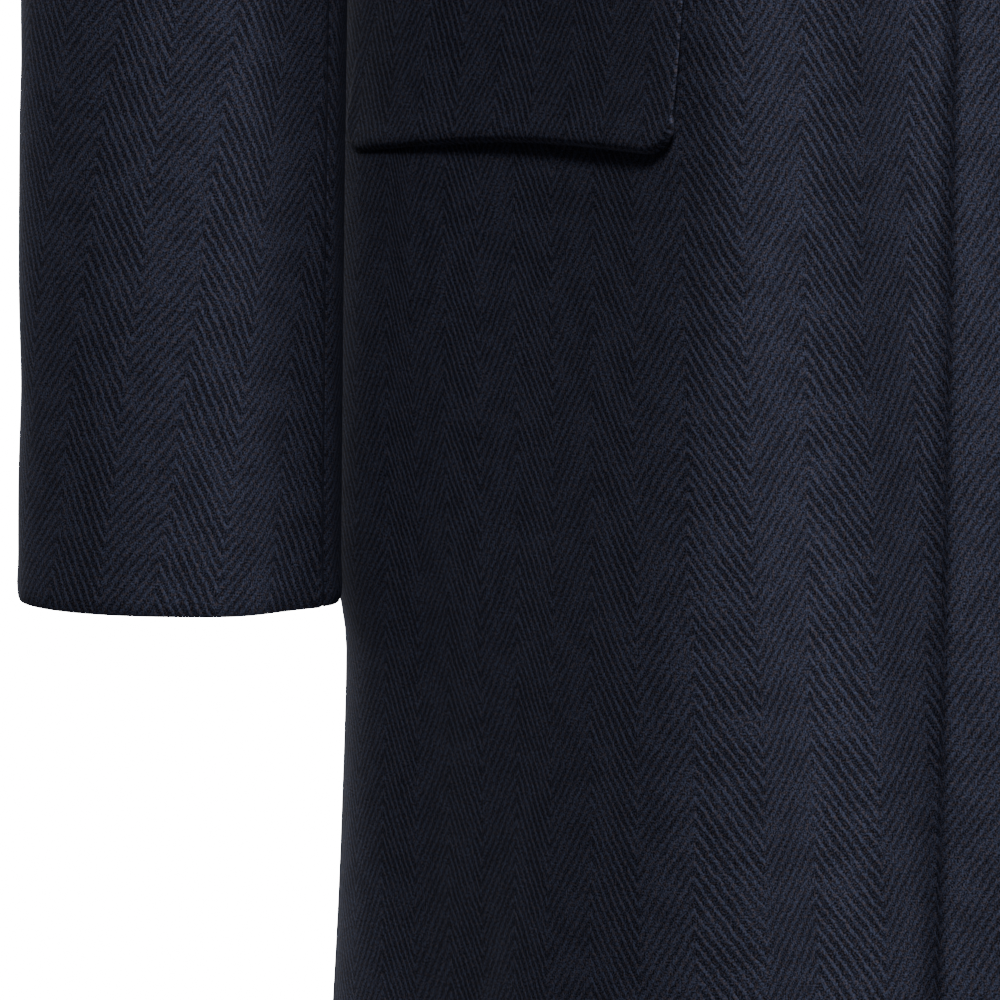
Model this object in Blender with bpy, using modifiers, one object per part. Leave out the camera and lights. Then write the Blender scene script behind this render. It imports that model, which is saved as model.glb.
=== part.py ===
"""A man's single-breasted, knee-length wool overcoat, filled out as it is worn.

Every cloth piece is an open sheet lofted from the coat's own sections and given its wall by a
Solidify modifier. Metres, +Z up, the coat's front faces -Y, the wearer's right is -X, and the
origin is the middle of the neck opening at the height of the nape.
"""
import math
from collections import namedtuple

import bmesh
import bpy
import numpy as np

# ---------------------------------------------------------------- driving sizes
WALL = 0.0024                 # wool coating with its canvas
SEAM_GAP = 0.0003             # between two pieces that are sewn together
LAYER_GAP = 0.0008            # between two pieces that lie on each other

CHEST_HEIGHT = -0.250         # underarm level, where the lapels break too
HEM_HEIGHT = -1.020
SIDE_SEAM_TURN = 5.30         # place of the side seam along the half section
BACK_TURN = 10.0              # centre back along the half section

NECK_HALF_WIDTH = 0.083
NAPE_DEPTH = 0.074
NAPE_RAISE = 0.066            # lift of the back neck over the line of the shoulders
NAPE_SPREAD = 0.050
NECK_POINT_HEIGHT = -0.010
SHOULDER_HALF_WIDTH = 0.240
SHOULDER_POINT_HEIGHT = -0.056
SHOULDER_LINE_Y = 0.004
BLUNT_SHARE = 0.80            # past this share of the width the shoulder stays full
BLUNT_DEPTHS = (-0.078, 0.088)
ARMHOLE_FRONT_CUT = 0.155     # share of the half width scooped out for the arm
ARMHOLE_BACK_CUT = 0.130

FRONT_LAP = 0.0235            # each front runs this far past the centre
FRONT_SWING = 0.013           # the front edge swings outwards by this much in each metre down
SWING_HEIGHT = -0.670         # where that swing crosses the straight edge
SIDE_SEAM_TRIM = 0.006        # turn that each panel stops short of the side seam
LAPEL_TIP = (0.150, -0.094)   # across, height, as seen from the front
LAPEL_BELLY = (0.074, -0.203)
GORGE_START = (0.0556, -0.068)
LAPEL_ROLL = 0.0030           # how far the lapel's belly stands off the front
NOTCH_SHARE = 0.60            # place of the notch along the lapel's top edge

POCKET_FRONT = (0.1030, -0.500)     # front top corner of the flap: across, height
FLAP_LENGTH = 0.168
FLAP_DEPTH = 0.0680
FLAP_ARCH = 0.0050            # rise of the flap's lower edge between its corners
FLAP_SLANT = math.radians(4.4)
FLAP_STAND = 0.0042           # how far the flap's lower edge stands off the coat
FLAP_CORNER = 0.012

FRONT_SLEEVE_SEAM = -69.0     # degrees from the sleeve's front, outwards positive
BACK_SLEEVE_SEAM = 150.0
SLEEVE_SEAM_TRIM = 0.20       # degrees that each sleeve piece stops short of its seam

BUTTON_HEIGHTS = (-0.275, -0.380, -0.485)
BUTTON_RADIUS = 0.0140
BUTTON_THICKNESS = 0.0040

# ---------------------------------------------------------------- tables
Level = namedtuple("Level", "height half_width front_depth back_depth "
                            "front_corner side_depth back_corner")
BODY_LEVELS = [
    Level(-1.020, 0.2320, 0.1730, 0.172, 0.130, -0.034, 0.142),
    Level(-0.800, 0.2220, 0.1645, 0.160, 0.123, -0.026, 0.134),
    Level(-0.740, 0.2204, 0.1612, 0.156, 0.121, -0.023, 0.132),
    Level(-0.670, 0.2203, 0.1558, 0.151, 0.115, -0.019, 0.128),
    Level(-0.580, 0.2200, 0.1512, 0.145, 0.106, -0.011, 0.124),
    Level(-0.440, 0.2130, 0.1465, 0.132, 0.114, -0.006, 0.116),
    Level(-0.340, 0.2090, 0.1490, 0.136, 0.132, -0.002, 0.124),
    Level(-0.250, 0.2085, 0.1500, 0.142, 0.143, 0.000, 0.132),
]

Spread = namedtuple("Spread", "share across")      # share of the chest, place on the shoulder
SHOULDER_SPREAD = [
    Spread(0.00, 0.000), Spread(0.40, 0.084), Spread(0.60, 0.138), Spread(0.75, 0.186),
    Spread(0.86, 0.219), Spread(0.95, 0.235), Spread(1.00, SHOULDER_HALF_WIDTH),
]

Fold = namedtuple("Fold", "top bottom across_top across_bottom inner outer depth_top depth_bottom")
RIGHT_FRONT_FOLDS = [
    Fold(-0.30, -1.02, 0.078, 0.060, 0.018, 0.030, 0.0100, 0.0040),
    Fold(-0.72, -1.02, 0.150, 0.158, 0.014, 0.016, 0.0020, 0.0050),
]
LEFT_FRONT_FOLDS = [
    Fold(-0.32, -1.02, 0.082, 0.070, 0.020, 0.030, 0.0070, 0.0055),
    Fold(-0.70, -1.02, 0.152, 0.150, 0.014, 0.016, 0.0020, 0.0060),
]
BACK_FOLDS = [
    Fold(-0.34, -1.02, 0.118, 0.128, 0.022, 0.024, 0.0060, 0.0110),
    Fold(-0.46, -1.02, 0.060, 0.066, 0.018, 0.018, -0.0040, -0.0080),
]

Ring = namedtuple("Ring", "height across along half_width half_depth")
SLEEVE_RINGS = [
    Ring(-0.720, 0.2694, -0.0510, 0.0520, 0.0450),
    Ring(-0.640, 0.2690, -0.0495, 0.0522, 0.0455),
    Ring(-0.560, 0.2684, -0.0450, 0.0524, 0.0475),
    Ring(-0.480, 0.2676, -0.0370, 0.0526, 0.0530),
    Ring(-0.400, 0.2665, -0.0220, 0.0525, 0.0620),
    Ring(-0.340, 0.2650, -0.0100, 0.0518, 0.0690),
    Ring(-0.295, 0.2640, -0.0030, 0.0512, 0.0735),
]

Crease = namedtuple("Crease", "height turn tall wide slope depth")   # on a sleeve, degrees
SLEEVE_CREASES = [
    Crease(-0.405, -20.0, 0.014, 34.0, 0.0009, -0.0042),
    Crease(-0.440, 12.0, 0.016, 36.0, -0.0008, -0.0036),
    Crease(-0.372, 150.0, 0.020, 42.0, 0.0008, -0.0034),
]

Station = namedtuple("Station", "turn crease_x crease_y crease_height edge_x edge_y")
COLLAR_STATIONS = [
    Station(0.00, 0.0000, 0.0640, 0.0460, 0.0000, 0.1060),
    Station(0.25, 0.0380, 0.0560, 0.0435, 0.0690, 0.0800),
    Station(0.50, 0.0690, 0.0290, 0.0330, 0.1150, 0.0500),
    Station(0.68, 0.0765, -0.0020, 0.0210, 0.1330, 0.0060),
    Station(0.84, 0.0735, -0.0420, 0.0000, 0.1400, -0.0380),
    Station(1.00, 0.0520, -0.1040, -0.0590, 0.1370, -0.0730),
]
COLLAR_SHOULDER = 0.68        # where the collar crosses the shoulder seam
COLLAR_ROLL = 0.0036          # half the thickness of the collar's fold
COLLAR_BULGE = 0.006
COLLAR_REST = 0.0020          # the collar's clearance over the panels it lies on
NOTCH_SHARE_OF_FALL = 0.72    # place of the notch corner down the collar's front end

NAVY_WOOL = (0.020, 0.024, 0.038, 1.0)
BUTTON_HORN = (0.012, 0.010, 0.010, 1.0)


# ---------------------------------------------------------------- small maths
def smooth_column(table, key, wanted, value):
    """Read one column of a table at any place, through a smooth monotone cubic."""
    xs = np.array([getattr(row, key) for row in table])
    ys = np.array([getattr(row, value) for row in table])
    steps = np.diff(ys) / np.diff(xs)
    slopes = np.zeros_like(ys)
    same_way = steps[:-1] * steps[1:] > 0
    slopes[1:-1][same_way] = (2 * steps[:-1] * steps[1:] / (steps[:-1] + steps[1:]))[same_way]
    at = np.clip(np.asarray(wanted, float), xs[0], xs[-1])
    cell = np.clip(np.searchsorted(xs, at) - 1, 0, len(xs) - 2)
    width = xs[cell + 1] - xs[cell]
    f = (at - xs[cell]) / width
    return ((1 + 2 * f) * (1 - f) ** 2 * ys[cell] + f * (1 - f) ** 2 * width * slopes[cell]
            + f * f * (3 - 2 * f) * ys[cell + 1] - f * f * (1 - f) * width * slopes[cell + 1])


def ease(value):
    """Smooth step from 0 to 1."""
    f = np.clip(value, 0.0, 1.0)
    return f * f * (3 - 2 * f)


def shares(count, strip=0.0):
    """Even shares from 0 to 1, with a narrow strip at each end beside the seams."""
    inner = np.linspace(0.0, 1.0, count + 1)
    if not strip:
        return inner
    return np.concatenate([[0.0, strip], inner[1:-1], [1.0 - strip, 1.0]])


# ---------------------------------------------------------------- the coat's sections
def section_corners(height):
    """Control corners of the half section at each height, from centre front to centre back."""
    wide, front, back, corner, side, blade = (
        smooth_column(BODY_LEVELS, "height", height, name)
        for name in ("half_width", "front_depth", "back_depth", "front_corner",
                     "side_depth", "back_corner"))
    zero = np.zeros_like(wide)
    across = [zero, 0.34 * corner, 0.70 * corner, corner, corner + 0.42 * (wide - corner),
              wide + 0.004, 0.985 * wide, blade + 0.30 * (wide - blade), 0.72 * blade,
              0.34 * blade, zero]
    along = [-front, -front, -front, -front, -front + 0.42 * (front + side), side - 0.004,
             side + 0.060, 0.80 * back, back, back, back]
    return np.stack(across, -1), np.stack(along, -1)


def section_point(turn, height):
    """Plan position on the section: 0 is centre front, about 5 the side, 10 centre back."""
    turn, height = np.broadcast_arrays(np.asarray(turn, float), np.asarray(height, float))
    across, along = section_corners(height)
    mirrored = turn < 0
    place = np.clip(np.abs(turn), 0.0, BACK_TURN)
    cell = np.minimum(place.astype(int), int(BACK_TURN) - 1)
    f = place - cell
    weights = ((1 - f) ** 3 / 6, (3 * f ** 3 - 6 * f ** 2 + 4) / 6,
               (-3 * f ** 3 + 3 * f ** 2 + 3 * f + 1) / 6, f ** 3 / 6)
    x = np.zeros_like(place)
    y = np.zeros_like(place)
    for step, weight in enumerate(weights):
        index = cell + step - 1
        beyond = (index < 0) | (index > int(BACK_TURN))
        real = np.where(index < 0, -index, np.where(index > BACK_TURN, 20 - index, index))
        column = np.take_along_axis(across, real[..., None], -1)[..., 0]
        x += weight * np.where(beyond, -column, column)
        y += weight * np.take_along_axis(along, real[..., None], -1)[..., 0]
    return np.where(mirrored, -x, x), y


def shoulder_line(across):
    """Height of the shoulder seam line at a distance from the centre."""
    slope = (SHOULDER_POINT_HEIGHT - NECK_POINT_HEIGHT) / (SHOULDER_HALF_WIDTH - NECK_HALF_WIDTH)
    from_neck = np.abs(across) - NECK_HALF_WIDTH
    inside = slope * (np.square(across) - NECK_HALF_WIDTH ** 2) / (2 * NECK_HALF_WIDTH)
    return NECK_POINT_HEIGHT + np.where(from_neck > 0, slope * from_neck, inside)


def body_point(turn, rise):
    """Point of the coat's outer surface for the wearer's left half (x positive).

    rise is metres from the chest when negative, and the share of the arc over the shoulder
    when positive.
    """
    turn, rise = np.broadcast_arrays(np.asarray(turn, float), np.asarray(rise, float))
    height = CHEST_HEIGHT + np.minimum(rise, 0.0)
    x, y = section_point(turn, height)
    arc = np.clip(rise, 0.0, 1.0) * math.pi / 2
    half = smooth_column(BODY_LEVELS, "height", CHEST_HEIGHT, "half_width")
    chest_share = np.clip(np.abs(x) / half, 0.0, 1.0)
    spread = smooth_column(SHOULDER_SPREAD, "share", chest_share, "across")
    lift = np.sin(arc)
    wide = np.abs(x) + (spread - np.abs(x)) * lift ** 2.2 * (rise > 0)
    front_limit, back_limit = BLUNT_DEPTHS
    blunt = np.where(np.abs(turn) < SIDE_SEAM_TURN, np.minimum(y, front_limit),
                     np.maximum(y, back_limit))
    blunt = np.where(chest_share > BLUNT_SHARE, blunt, y)
    y = y + (blunt - y) * ease(lift) * (rise > 0)
    deep = np.where(rise > 0, SHOULDER_LINE_Y + (y - SHOULDER_LINE_Y) * np.cos(arc), y)
    nape = NAPE_RAISE * np.exp(-(wide / NAPE_SPREAD) ** 2) * np.sqrt(np.maximum(np.cos(arc), 0))
    top = shoulder_line(wide) + nape * (np.abs(turn) > SIDE_SEAM_TURN)
    tall = np.where(rise > 0, CHEST_HEIGHT + (top - CHEST_HEIGHT) * lift, height)
    return np.stack([np.sign(x) * wide, deep, tall], -1)


def body_normal(turn, rise):
    """Outward normal of the coat's surface, from small differences."""
    step = 0.004
    rise_low = np.where(np.asarray(rise) > 0, np.minimum(rise, 1.0) - step, rise - step)
    around = body_point(np.add(turn, step), rise) - body_point(np.subtract(turn, step), rise)
    upward = body_point(turn, np.minimum(np.add(rise, step), 1.0)) - body_point(turn, rise_low)
    normal = np.cross(around, upward)
    normal /= np.maximum(np.linalg.norm(normal, axis=-1, keepdims=True), 1e-9)
    return normal


def fold_depth(folds, point):
    """How far the table's folds move a point of the surface out."""
    moved = np.zeros(point.shape[:-1])
    for fold in folds:
        down = np.clip((fold.top - point[..., 2]) / (fold.top - fold.bottom), 0.0, 1.0)
        centre = fold.across_top + (fold.across_bottom - fold.across_top) * down
        depth = fold.depth_top + (fold.depth_bottom - fold.depth_top) * down
        offset = np.abs(point[..., 0]) - centre
        width = np.where(offset < 0, fold.inner, fold.outer)
        fade = ease((fold.top - point[..., 2]) / 0.14)
        moved += depth * fade * np.exp(-0.5 * (offset / width) ** 2)
    return moved


def turn_across(across, rise):
    """Place on the front half of the section that lies a distance from the centre."""
    turns = np.linspace(0.0, 4.9, 240)
    result = np.zeros(np.broadcast(across, rise).shape)
    for index in np.ndindex(result.shape):
        x = np.broadcast_to(across, result.shape)[index]
        line = body_point(turns, np.broadcast_to(rise, result.shape)[index])[:, 0]
        result[index] = math.copysign(np.interp(abs(x), line, turns), x)
    return result


# ---------------------------------------------------------------- mesh helpers
def link(collection, name, mesh, material):
    piece = bpy.data.objects.new(name, mesh)
    collection.objects.link(piece)
    mesh.materials.append(material)
    return piece


def lofted_sheet(rows, outward, closed=False):
    """Open sheet through rows of points, turned so that its faces point along outward."""
    rows = np.asarray(rows, float)
    count, across = rows.shape[:2]
    work = bmesh.new()
    verts = [[work.verts.new(point) for point in row] for row in rows]
    for i in range(count - 1):
        for j in range(across if closed else across - 1):
            k = (j + 1) % across
            work.faces.new((verts[i][j], verts[i][k], verts[i + 1][k], verts[i + 1][j]))
    mesh = bpy.data.meshes.new("sheet")
    work.to_mesh(mesh)
    work.free()
    mesh.update()
    mid = (count // 2) * (across if closed else across - 1) + across // 2
    face = mesh.polygons[min(mid, len(mesh.polygons) - 1)]
    if np.dot(face.normal, outward(np.array(face.center))) < 0:
        mesh.flip_normals()
    mesh.shade_smooth()
    return mesh


def cloth_piece(collection, name, rows, outward, material, wall=WALL, closed=False):
    """A named cloth piece: an open sheet with its wall inside the designed surface."""
    piece = link(collection, name, lofted_sheet(rows, outward, closed), material)
    solid = piece.modifiers.new("Wall", "SOLIDIFY")
    solid.thickness = wall
    solid.offset = -1.0
    solid.use_even_offset = False
    solid.use_quality_normals = True
    return piece


def wool_material(name, colour, rough):
    material = bpy.data.materials.new(name)
    material.use_nodes = True
    shader = material.node_tree.nodes["Principled BSDF"]
    shader.inputs["Base Color"].default_value = colour
    shader.inputs["Roughness"].default_value = rough
    shader.inputs["Metallic"].default_value = 0.0
    return material


def mirrored(points, side):
    """side 1 is the wearer's left, -1 the right."""
    points = np.array(points, float)
    points[..., 0] *= side
    return points


# ---------------------------------------------------------------- body panels
PANEL_RUNS = np.concatenate([np.linspace(0.0, 1.0, 11)[:-1], [0.95, 1.0]])


def coons_patch(bottom, top, left, right, across, up):
    """Fill a four-sided patch between curves given at the shares across and up."""
    f = across[None, :, None]
    r = up[:, None, None]
    corners = ((1 - f) * (1 - r) * bottom[0] + f * (1 - r) * bottom[-1]
               + (1 - f) * r * top[0] + f * r * top[-1])
    return ((1 - r) * bottom[None] + r * top[None] + (1 - f) * left[:, None]
            + f * right[:, None] - corners)


def chest_turn(share, back):
    """Place on the chest section with this share of the half width, front or back."""
    turns = np.linspace(0.0, 5.2, 300) if not back else np.linspace(BACK_TURN, 5.2, 300)
    across = section_point(turns, CHEST_HEIGHT)[0]
    keep = np.maximum.accumulate(across)
    return np.interp(share * keep.max(), keep, turns)


def armhole_place(run, back):
    """Turn and rise along the armhole: run 0 is the underarm, 1 the shoulder point."""
    run = np.asarray(run, float)
    rise = 1 - np.cos(math.pi / 2 * run)
    cut = ARMHOLE_BACK_CUT if back else ARMHOLE_FRONT_CUT
    hollow = np.maximum(np.sin(math.pi * rise), 0.0)
    scoop = cut * np.where(rise > 0.5, hollow ** 1.6, hollow ** 0.7)
    share = 1 - np.maximum(scoop, 0.0005)
    turn = chest_turn(share, back)
    seam = SIDE_SEAM_TURN
    low = ease(1 - run / 0.16)
    turn = turn + (seam - turn) * low
    return np.stack([turn, rise], -1)


def roll_place(run):
    """Turn and rise along the lapel's roll line: 0 is the break, 1 the neck point."""
    rise = np.asarray(run, float)
    lift = np.sin(rise * math.pi / 2)
    across = -FRONT_LAP + (FRONT_LAP + NECK_HALF_WIDTH) * lift
    return np.stack([turn_across(across, rise), rise], -1)


def front_lap(height):
    """How far the front edge runs past the centre at a height."""
    return FRONT_LAP + FRONT_SWING * (SWING_HEIGHT - height) * ease((-0.30 - height) / 0.15)


def front_rows():
    """Turn and rise of the front panel's mesh points, hem first."""
    strip = 0.014
    across = shares(21, strip)
    heights = np.linspace(HEM_HEIGHT - CHEST_HEIGHT, 0.0, 15)[:-1]
    lower = []
    for rise in heights:
        inner = turn_across(-front_lap(CHEST_HEIGHT + rise), rise)
        lower.append([(inner + (SIDE_SEAM_TURN - inner) * f, rise) for f in across])
    right = armhole_place(PANEL_RUNS, back=False)
    left = roll_place(right[:, 1])
    bottom = np.stack([left[0, 0] + (SIDE_SEAM_TURN - left[0, 0]) * across,
                       np.zeros_like(across)], -1)
    top = np.stack([left[-1, 0] + (right[-1, 0] - left[-1, 0]) * across,
                    np.ones_like(across)], -1)
    right[0] = bottom[-1]
    upper = coons_patch(bottom, top, left, right, across, right[:, 1])
    return np.concatenate([np.array(lower, float), upper])


def seam_trim(places, trim):
    """Pull a panel's outer edge back from the side seam by half the seam's gap."""
    trimmed = np.array(places)
    trimmed[:, -1, 0] += trim
    return trimmed


def front_depth(point, side):
    """How far one front's outer face lies over the shared surface."""
    folds = LEFT_FRONT_FOLDS if side > 0 else RIGHT_FRONT_FOLDS
    beyond = ease((point[..., 0] + 0.010) / 0.030)
    depth = fold_depth(folds, point) * beyond
    if side > 0:
        near_break = ease((point[..., 2] + 0.300) / 0.050)
        parted = ease((point[..., 2] + 0.190) / 0.080)
        raised = (WALL + 2 * LAYER_GAP) * (1 + 0.8 * near_break) * (1 - parted)
        depth = depth + raised * ease((0.076 - point[..., 0]) / 0.036)
    return depth


def front_surface(places, side, over=0.0):
    """Points on one front, moved out by over, in the half where x is positive."""
    turn, rise = places[..., 0], places[..., 1]
    point = body_point(turn, rise)
    depth = front_depth(point, side) + over
    return point + body_normal(turn, rise) * depth[..., None]


def forward(at):
    return (0.0, -1.0, 0.0)


def build_front(collection, name, side, material):
    places = seam_trim(front_rows(), -SIDE_SEAM_TRIM)
    rows = front_surface(places, side)
    shoulder = rows[-1]
    shoulder[:, 1] = np.minimum(shoulder[:, 1], SHOULDER_LINE_Y - 2 * SEAM_GAP)
    return cloth_piece(collection, name, mirrored(rows, side), forward, material)


def back_rows():
    """Turn and rise of a back panel's mesh points, hem first, from centre back outwards."""
    across = shares(13, 0.016)
    neck_share = 0.36
    heights = np.linspace(HEM_HEIGHT - CHEST_HEIGHT, 0.0, 15)[:-1]
    lower = []
    for rise in heights:
        lower.append([(BACK_TURN + (SIDE_SEAM_TURN - BACK_TURN) * f, rise) for f in across])
    right = armhole_place(PANEL_RUNS, back=True)
    left = np.stack([np.full(len(right), BACK_TURN), nape_rise(0.0) * right[:, 1]], -1)
    bottom = np.stack([BACK_TURN + (SIDE_SEAM_TURN - BACK_TURN) * across,
                       np.zeros_like(across)], -1)
    top = []
    for f in across:
        if f < neck_share:
            x = NECK_HALF_WIDTH * math.sin(f / neck_share * math.pi / 2)
            rise = nape_rise(x)
        else:
            end = SHOULDER_HALF_WIDTH
            x = NECK_HALF_WIDTH + (end - NECK_HALF_WIDTH) * (f - neck_share) / (1 - neck_share)
            rise = 1.0
        top.append((back_turn_across(x, rise), rise))
    top = np.array(top)
    top[-1] = right[-1]
    right[0] = bottom[-1]
    upper = coons_patch(bottom, top, left, right, across, right[:, 1])
    return np.concatenate([np.array(lower, float), upper])


def nape_rise(across):
    """Rise of the back neckline at a distance from the centre."""
    reach = math.sqrt(max(0.0, 1 - (across / NECK_HALF_WIDTH) ** 2))
    wanted = SHOULDER_LINE_Y + (NAPE_DEPTH - SHOULDER_LINE_Y) * reach
    rises = np.linspace(0.2, 1.0, 160)
    depths = np.array([body_point(back_turn_across(across, r), r)[1] for r in rises[::8]])
    return float(np.interp(-wanted, -depths, rises[::8]))


def back_turn_across(across, rise):
    turns = np.linspace(BACK_TURN, 5.25, 240)
    line = np.maximum.accumulate(body_point(turns, rise)[:, 0])
    return float(np.interp(across, line, turns))


def build_back(collection, name, side, material):
    places = seam_trim(back_rows(), SIDE_SEAM_TRIM)
    point = body_point(places[..., 0], places[..., 1])
    normal = body_normal(np.minimum(places[..., 0], BACK_TURN - 0.01), places[..., 1])
    rows = point + normal * fold_depth(BACK_FOLDS, point)[..., None]
    shoulder = rows[-1]
    shoulder[:, 1] = np.maximum(shoulder[:, 1], SHOULDER_LINE_Y + 2 * SEAM_GAP)
    rows[..., 0] = np.maximum(rows[..., 0], SEAM_GAP)
    return cloth_piece(collection, name, mirrored(rows, side), lambda at: (0.0, 1.0, 0.0),
                       material)


# ---------------------------------------------------------------- places on the surface
def find_place(wanted, axes, turn, rise):
    """Turn and rise of the points whose two given coordinates are wanted, by Newton steps."""
    wanted = np.asarray(wanted, float)
    turn = np.broadcast_to(np.asarray(turn, float), wanted.shape[:-1]).copy()
    rise = np.broadcast_to(np.asarray(rise, float), wanted.shape[:-1]).copy()
    step = 1e-4
    for _ in range(30):
        here = body_point(turn, rise)[..., axes]
        by_turn = (body_point(turn + step, rise)[..., axes] - here) / step
        by_rise = (here - body_point(turn, rise - step)[..., axes]) / step
        miss = wanted - here
        area = by_turn[..., 0] * by_rise[..., 1] - by_turn[..., 1] * by_rise[..., 0]
        area = np.where(np.abs(area) < 1e-7, 1e-7, area)
        turn_step = (miss[..., 0] * by_rise[..., 1] - miss[..., 1] * by_rise[..., 0]) / area
        rise_step = (by_turn[..., 0] * miss[..., 1] - by_turn[..., 1] * miss[..., 0]) / area
        turn += np.clip(turn_step, -0.4, 0.4)
        rise = np.clip(rise + np.clip(rise_step, -0.08, 0.08), -0.77, 1.0)
    return np.stack([turn, rise], -1)


# ---------------------------------------------------------------- lapels
def lapel_rows():
    """Turn and rise of the lapel's mesh points, from the break up to the gorge."""
    up = shares(9)
    across = shares(7)
    start = np.array([-FRONT_LAP + 0.004, CHEST_HEIGHT + 0.004])
    gorge = np.array(GORGE_START)
    tip = np.array(LAPEL_TIP)
    belly = np.array(LAPEL_BELLY)
    rows = []
    for r in up:
        inner = start + (gorge - start) * r
        low = start + np.array([0.006, -0.002])
        outer = (1 - r) ** 2 * low + 2 * r * (1 - r) * belly + r * r * tip
        rows.append([inner + (outer - inner) * f for f in across])
    seen = np.array(rows)
    return find_place(seen, [0, 2], 1.5 + 0 * seen[..., 0], 0.5 + 0 * seen[..., 0])


def build_lapel(collection, name, side, material):
    places = lapel_rows()
    across = np.linspace(0, 1, places.shape[1])[None, :]
    up = np.linspace(0, 1, places.shape[0])[:, None]
    roll = LAPEL_ROLL * np.sin(math.pi * np.clip(across / 0.8, 0, 1)) * ease((up - 0.25) / 0.3)
    rows = front_surface(places, side, WALL + LAYER_GAP + roll)
    return cloth_piece(collection, name, mirrored(rows, side), forward, material)


# ---------------------------------------------------------------- collar
def collar_seam(turn):
    """The neck seam: along the back neckline, then down the front's roll line to the gorge."""
    if turn < COLLAR_SHOULDER:
        across = NECK_HALF_WIDTH * math.sin(turn / COLLAR_SHOULDER * math.pi / 2)
        rise = nape_rise(across)
        place = (back_turn_across(across, rise), rise)
    else:
        low = math.asin((GORGE_START[0] + FRONT_LAP) / (NECK_HALF_WIDTH + FRONT_LAP))
        down = (turn - COLLAR_SHOULDER) / (1 - COLLAR_SHOULDER)
        place = roll_place(1.0 + (low * 2 / math.pi - 1.0) * down)
    return body_point(*place) + body_normal(*place) * COLLAR_REST


def collar_section(turn):
    """Points of the collar across its width, from the neck seam over the fold to its edge."""
    read = {name: float(smooth_column(COLLAR_STATIONS, "turn", turn, name))
            for name in Station._fields[1:]}
    seam = collar_seam(turn)
    guess = (3.0, 0.85) if read["edge_y"] < SHOULDER_LINE_Y else (7.5, 0.85)
    edge_place = find_place([read["edge_x"], read["edge_y"]], [0, 1], *guess)
    rest = WALL + COLLAR_REST
    edge = body_point(*edge_place) + body_normal(*edge_place) * rest
    crease = np.array([read["crease_x"], read["crease_y"], read["crease_height"]])
    outwards = edge - crease
    outwards[2] = 0.0
    outwards /= np.linalg.norm(outwards)
    points = [seam + (crease - outwards * COLLAR_ROLL - seam) * f for f in (0.0, 0.5, 1.0)]
    for angle in (45, 90, 135):
        a = math.radians(angle)
        points.append(crease - outwards * COLLAR_ROLL * math.cos(a)
                      + np.array([0, 0, COLLAR_ROLL * math.sin(a)]))
    top = crease + outwards * COLLAR_ROLL
    notch = collar_notch()
    pull = ease((turn - 0.80) / 0.20)
    for f in np.linspace(0.0, 1.0, 7):
        straight = top + (edge - top) * f
        bend = min(f / NOTCH_SHARE_OF_FALL, (1 - f) / (1 - NOTCH_SHARE_OF_FALL))
        corner = top + (edge - top) * NOTCH_SHARE_OF_FALL
        bulge = COLLAR_BULGE * math.sin(math.pi * f) * (1 - pull)
        point = straight + (notch - corner) * bend * pull + np.array([0, 0, bulge])
        if turn > COLLAR_SHOULDER and f > 0.3:
            below = find_place(point[:2], [0, 1], 3.0, 0.8)
            floor = body_point(*below) + body_normal(*below) * rest
            point[2] = max(point[2], floor[2] + 2.0 * COLLAR_REST)
        points.append(point)
    return points


def collar_notch():
    """Where the collar's front end meets the lapel's top edge, just clear of it."""
    seen = np.array(GORGE_START) + (np.array(LAPEL_TIP) - np.array(GORGE_START)) * NOTCH_SHARE
    place = find_place(seen + np.array([0.0, 0.0016]), [0, 2], 3.0, 0.6)
    return body_point(*place) + body_normal(*place) * (WALL + COLLAR_REST)


def build_collar(collection, material):
    turns = np.append(np.linspace(0.0, 0.92, 13), [0.96, 1.0])
    half = [collar_section(turn) for turn in turns]
    left = np.array(half)
    right = mirrored(left, -1)
    rows = np.concatenate([right[:0:-1], left])
    return cloth_piece(collection, "collar", rows, lambda at: (at[0], at[1], 0.02), material)


# ---------------------------------------------------------------- sleeves
def armhole_point(angle):
    """The armhole's edge beside each place round the sleeve, in degrees from its front."""
    angle = np.where(angle > 270, angle - 360, angle)
    edges = []
    for back, places in ((False, front_rows()), (True, back_rows())):
        edge = places[-len(PANEL_RUNS):, -1]
        line = body_point(edge[:, 0], edge[:, 1])
        run = (270 - angle) / 180 if back else (angle + 90) / 180
        edges.append(np.stack([np.interp(run, PANEL_RUNS, line[:, k]) for k in range(3)], -1))
    return np.where((angle <= 90)[..., None], edges[0], edges[1])


def sleeve_ring(angle, height):
    across, along, wide, deep = (smooth_column(SLEEVE_RINGS, "height", height, name)
                                 for name in ("across", "along", "half_width", "half_depth"))
    turn = np.radians(angle)
    x = across + wide * np.sin(turn)
    y = along - deep * np.cos(turn)
    return np.stack([x, y, np.broadcast_to(height, x.shape)], -1)


def sleeve_cap(angle, run):
    """The sleeve head: a smooth sweep from the armhole to the biceps ring."""
    turn = np.radians(angle)
    high = ((1 + np.sin(turn)) / 2)[..., None]
    zero = np.zeros_like(turn)
    leave = (high ** 0.7 * np.stack([0.13 + zero, -0.035 * np.cos(turn), 0.030 + zero], -1)
             + (1 - high) * np.array([0.006, 0.0, -0.030]))
    arrive = np.array([0.0, 0.0, -0.12]) * (0.4 + 0.6 * high)
    start = armhole_point(angle) + leave / np.linalg.norm(leave, axis=-1, keepdims=True) * 0.0008
    start = start + (1 - high) ** 6 * np.array([0.0016, 0.0, 0.0])
    end = sleeve_ring(angle, SLEEVE_RINGS[-1].height)
    w = run
    return ((2 * w ** 3 - 3 * w ** 2 + 1) * start + (w ** 3 - 2 * w ** 2 + w) * leave
            + (3 * w ** 2 - 2 * w ** 3) * end + (w ** 3 - w ** 2) * arrive)


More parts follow.
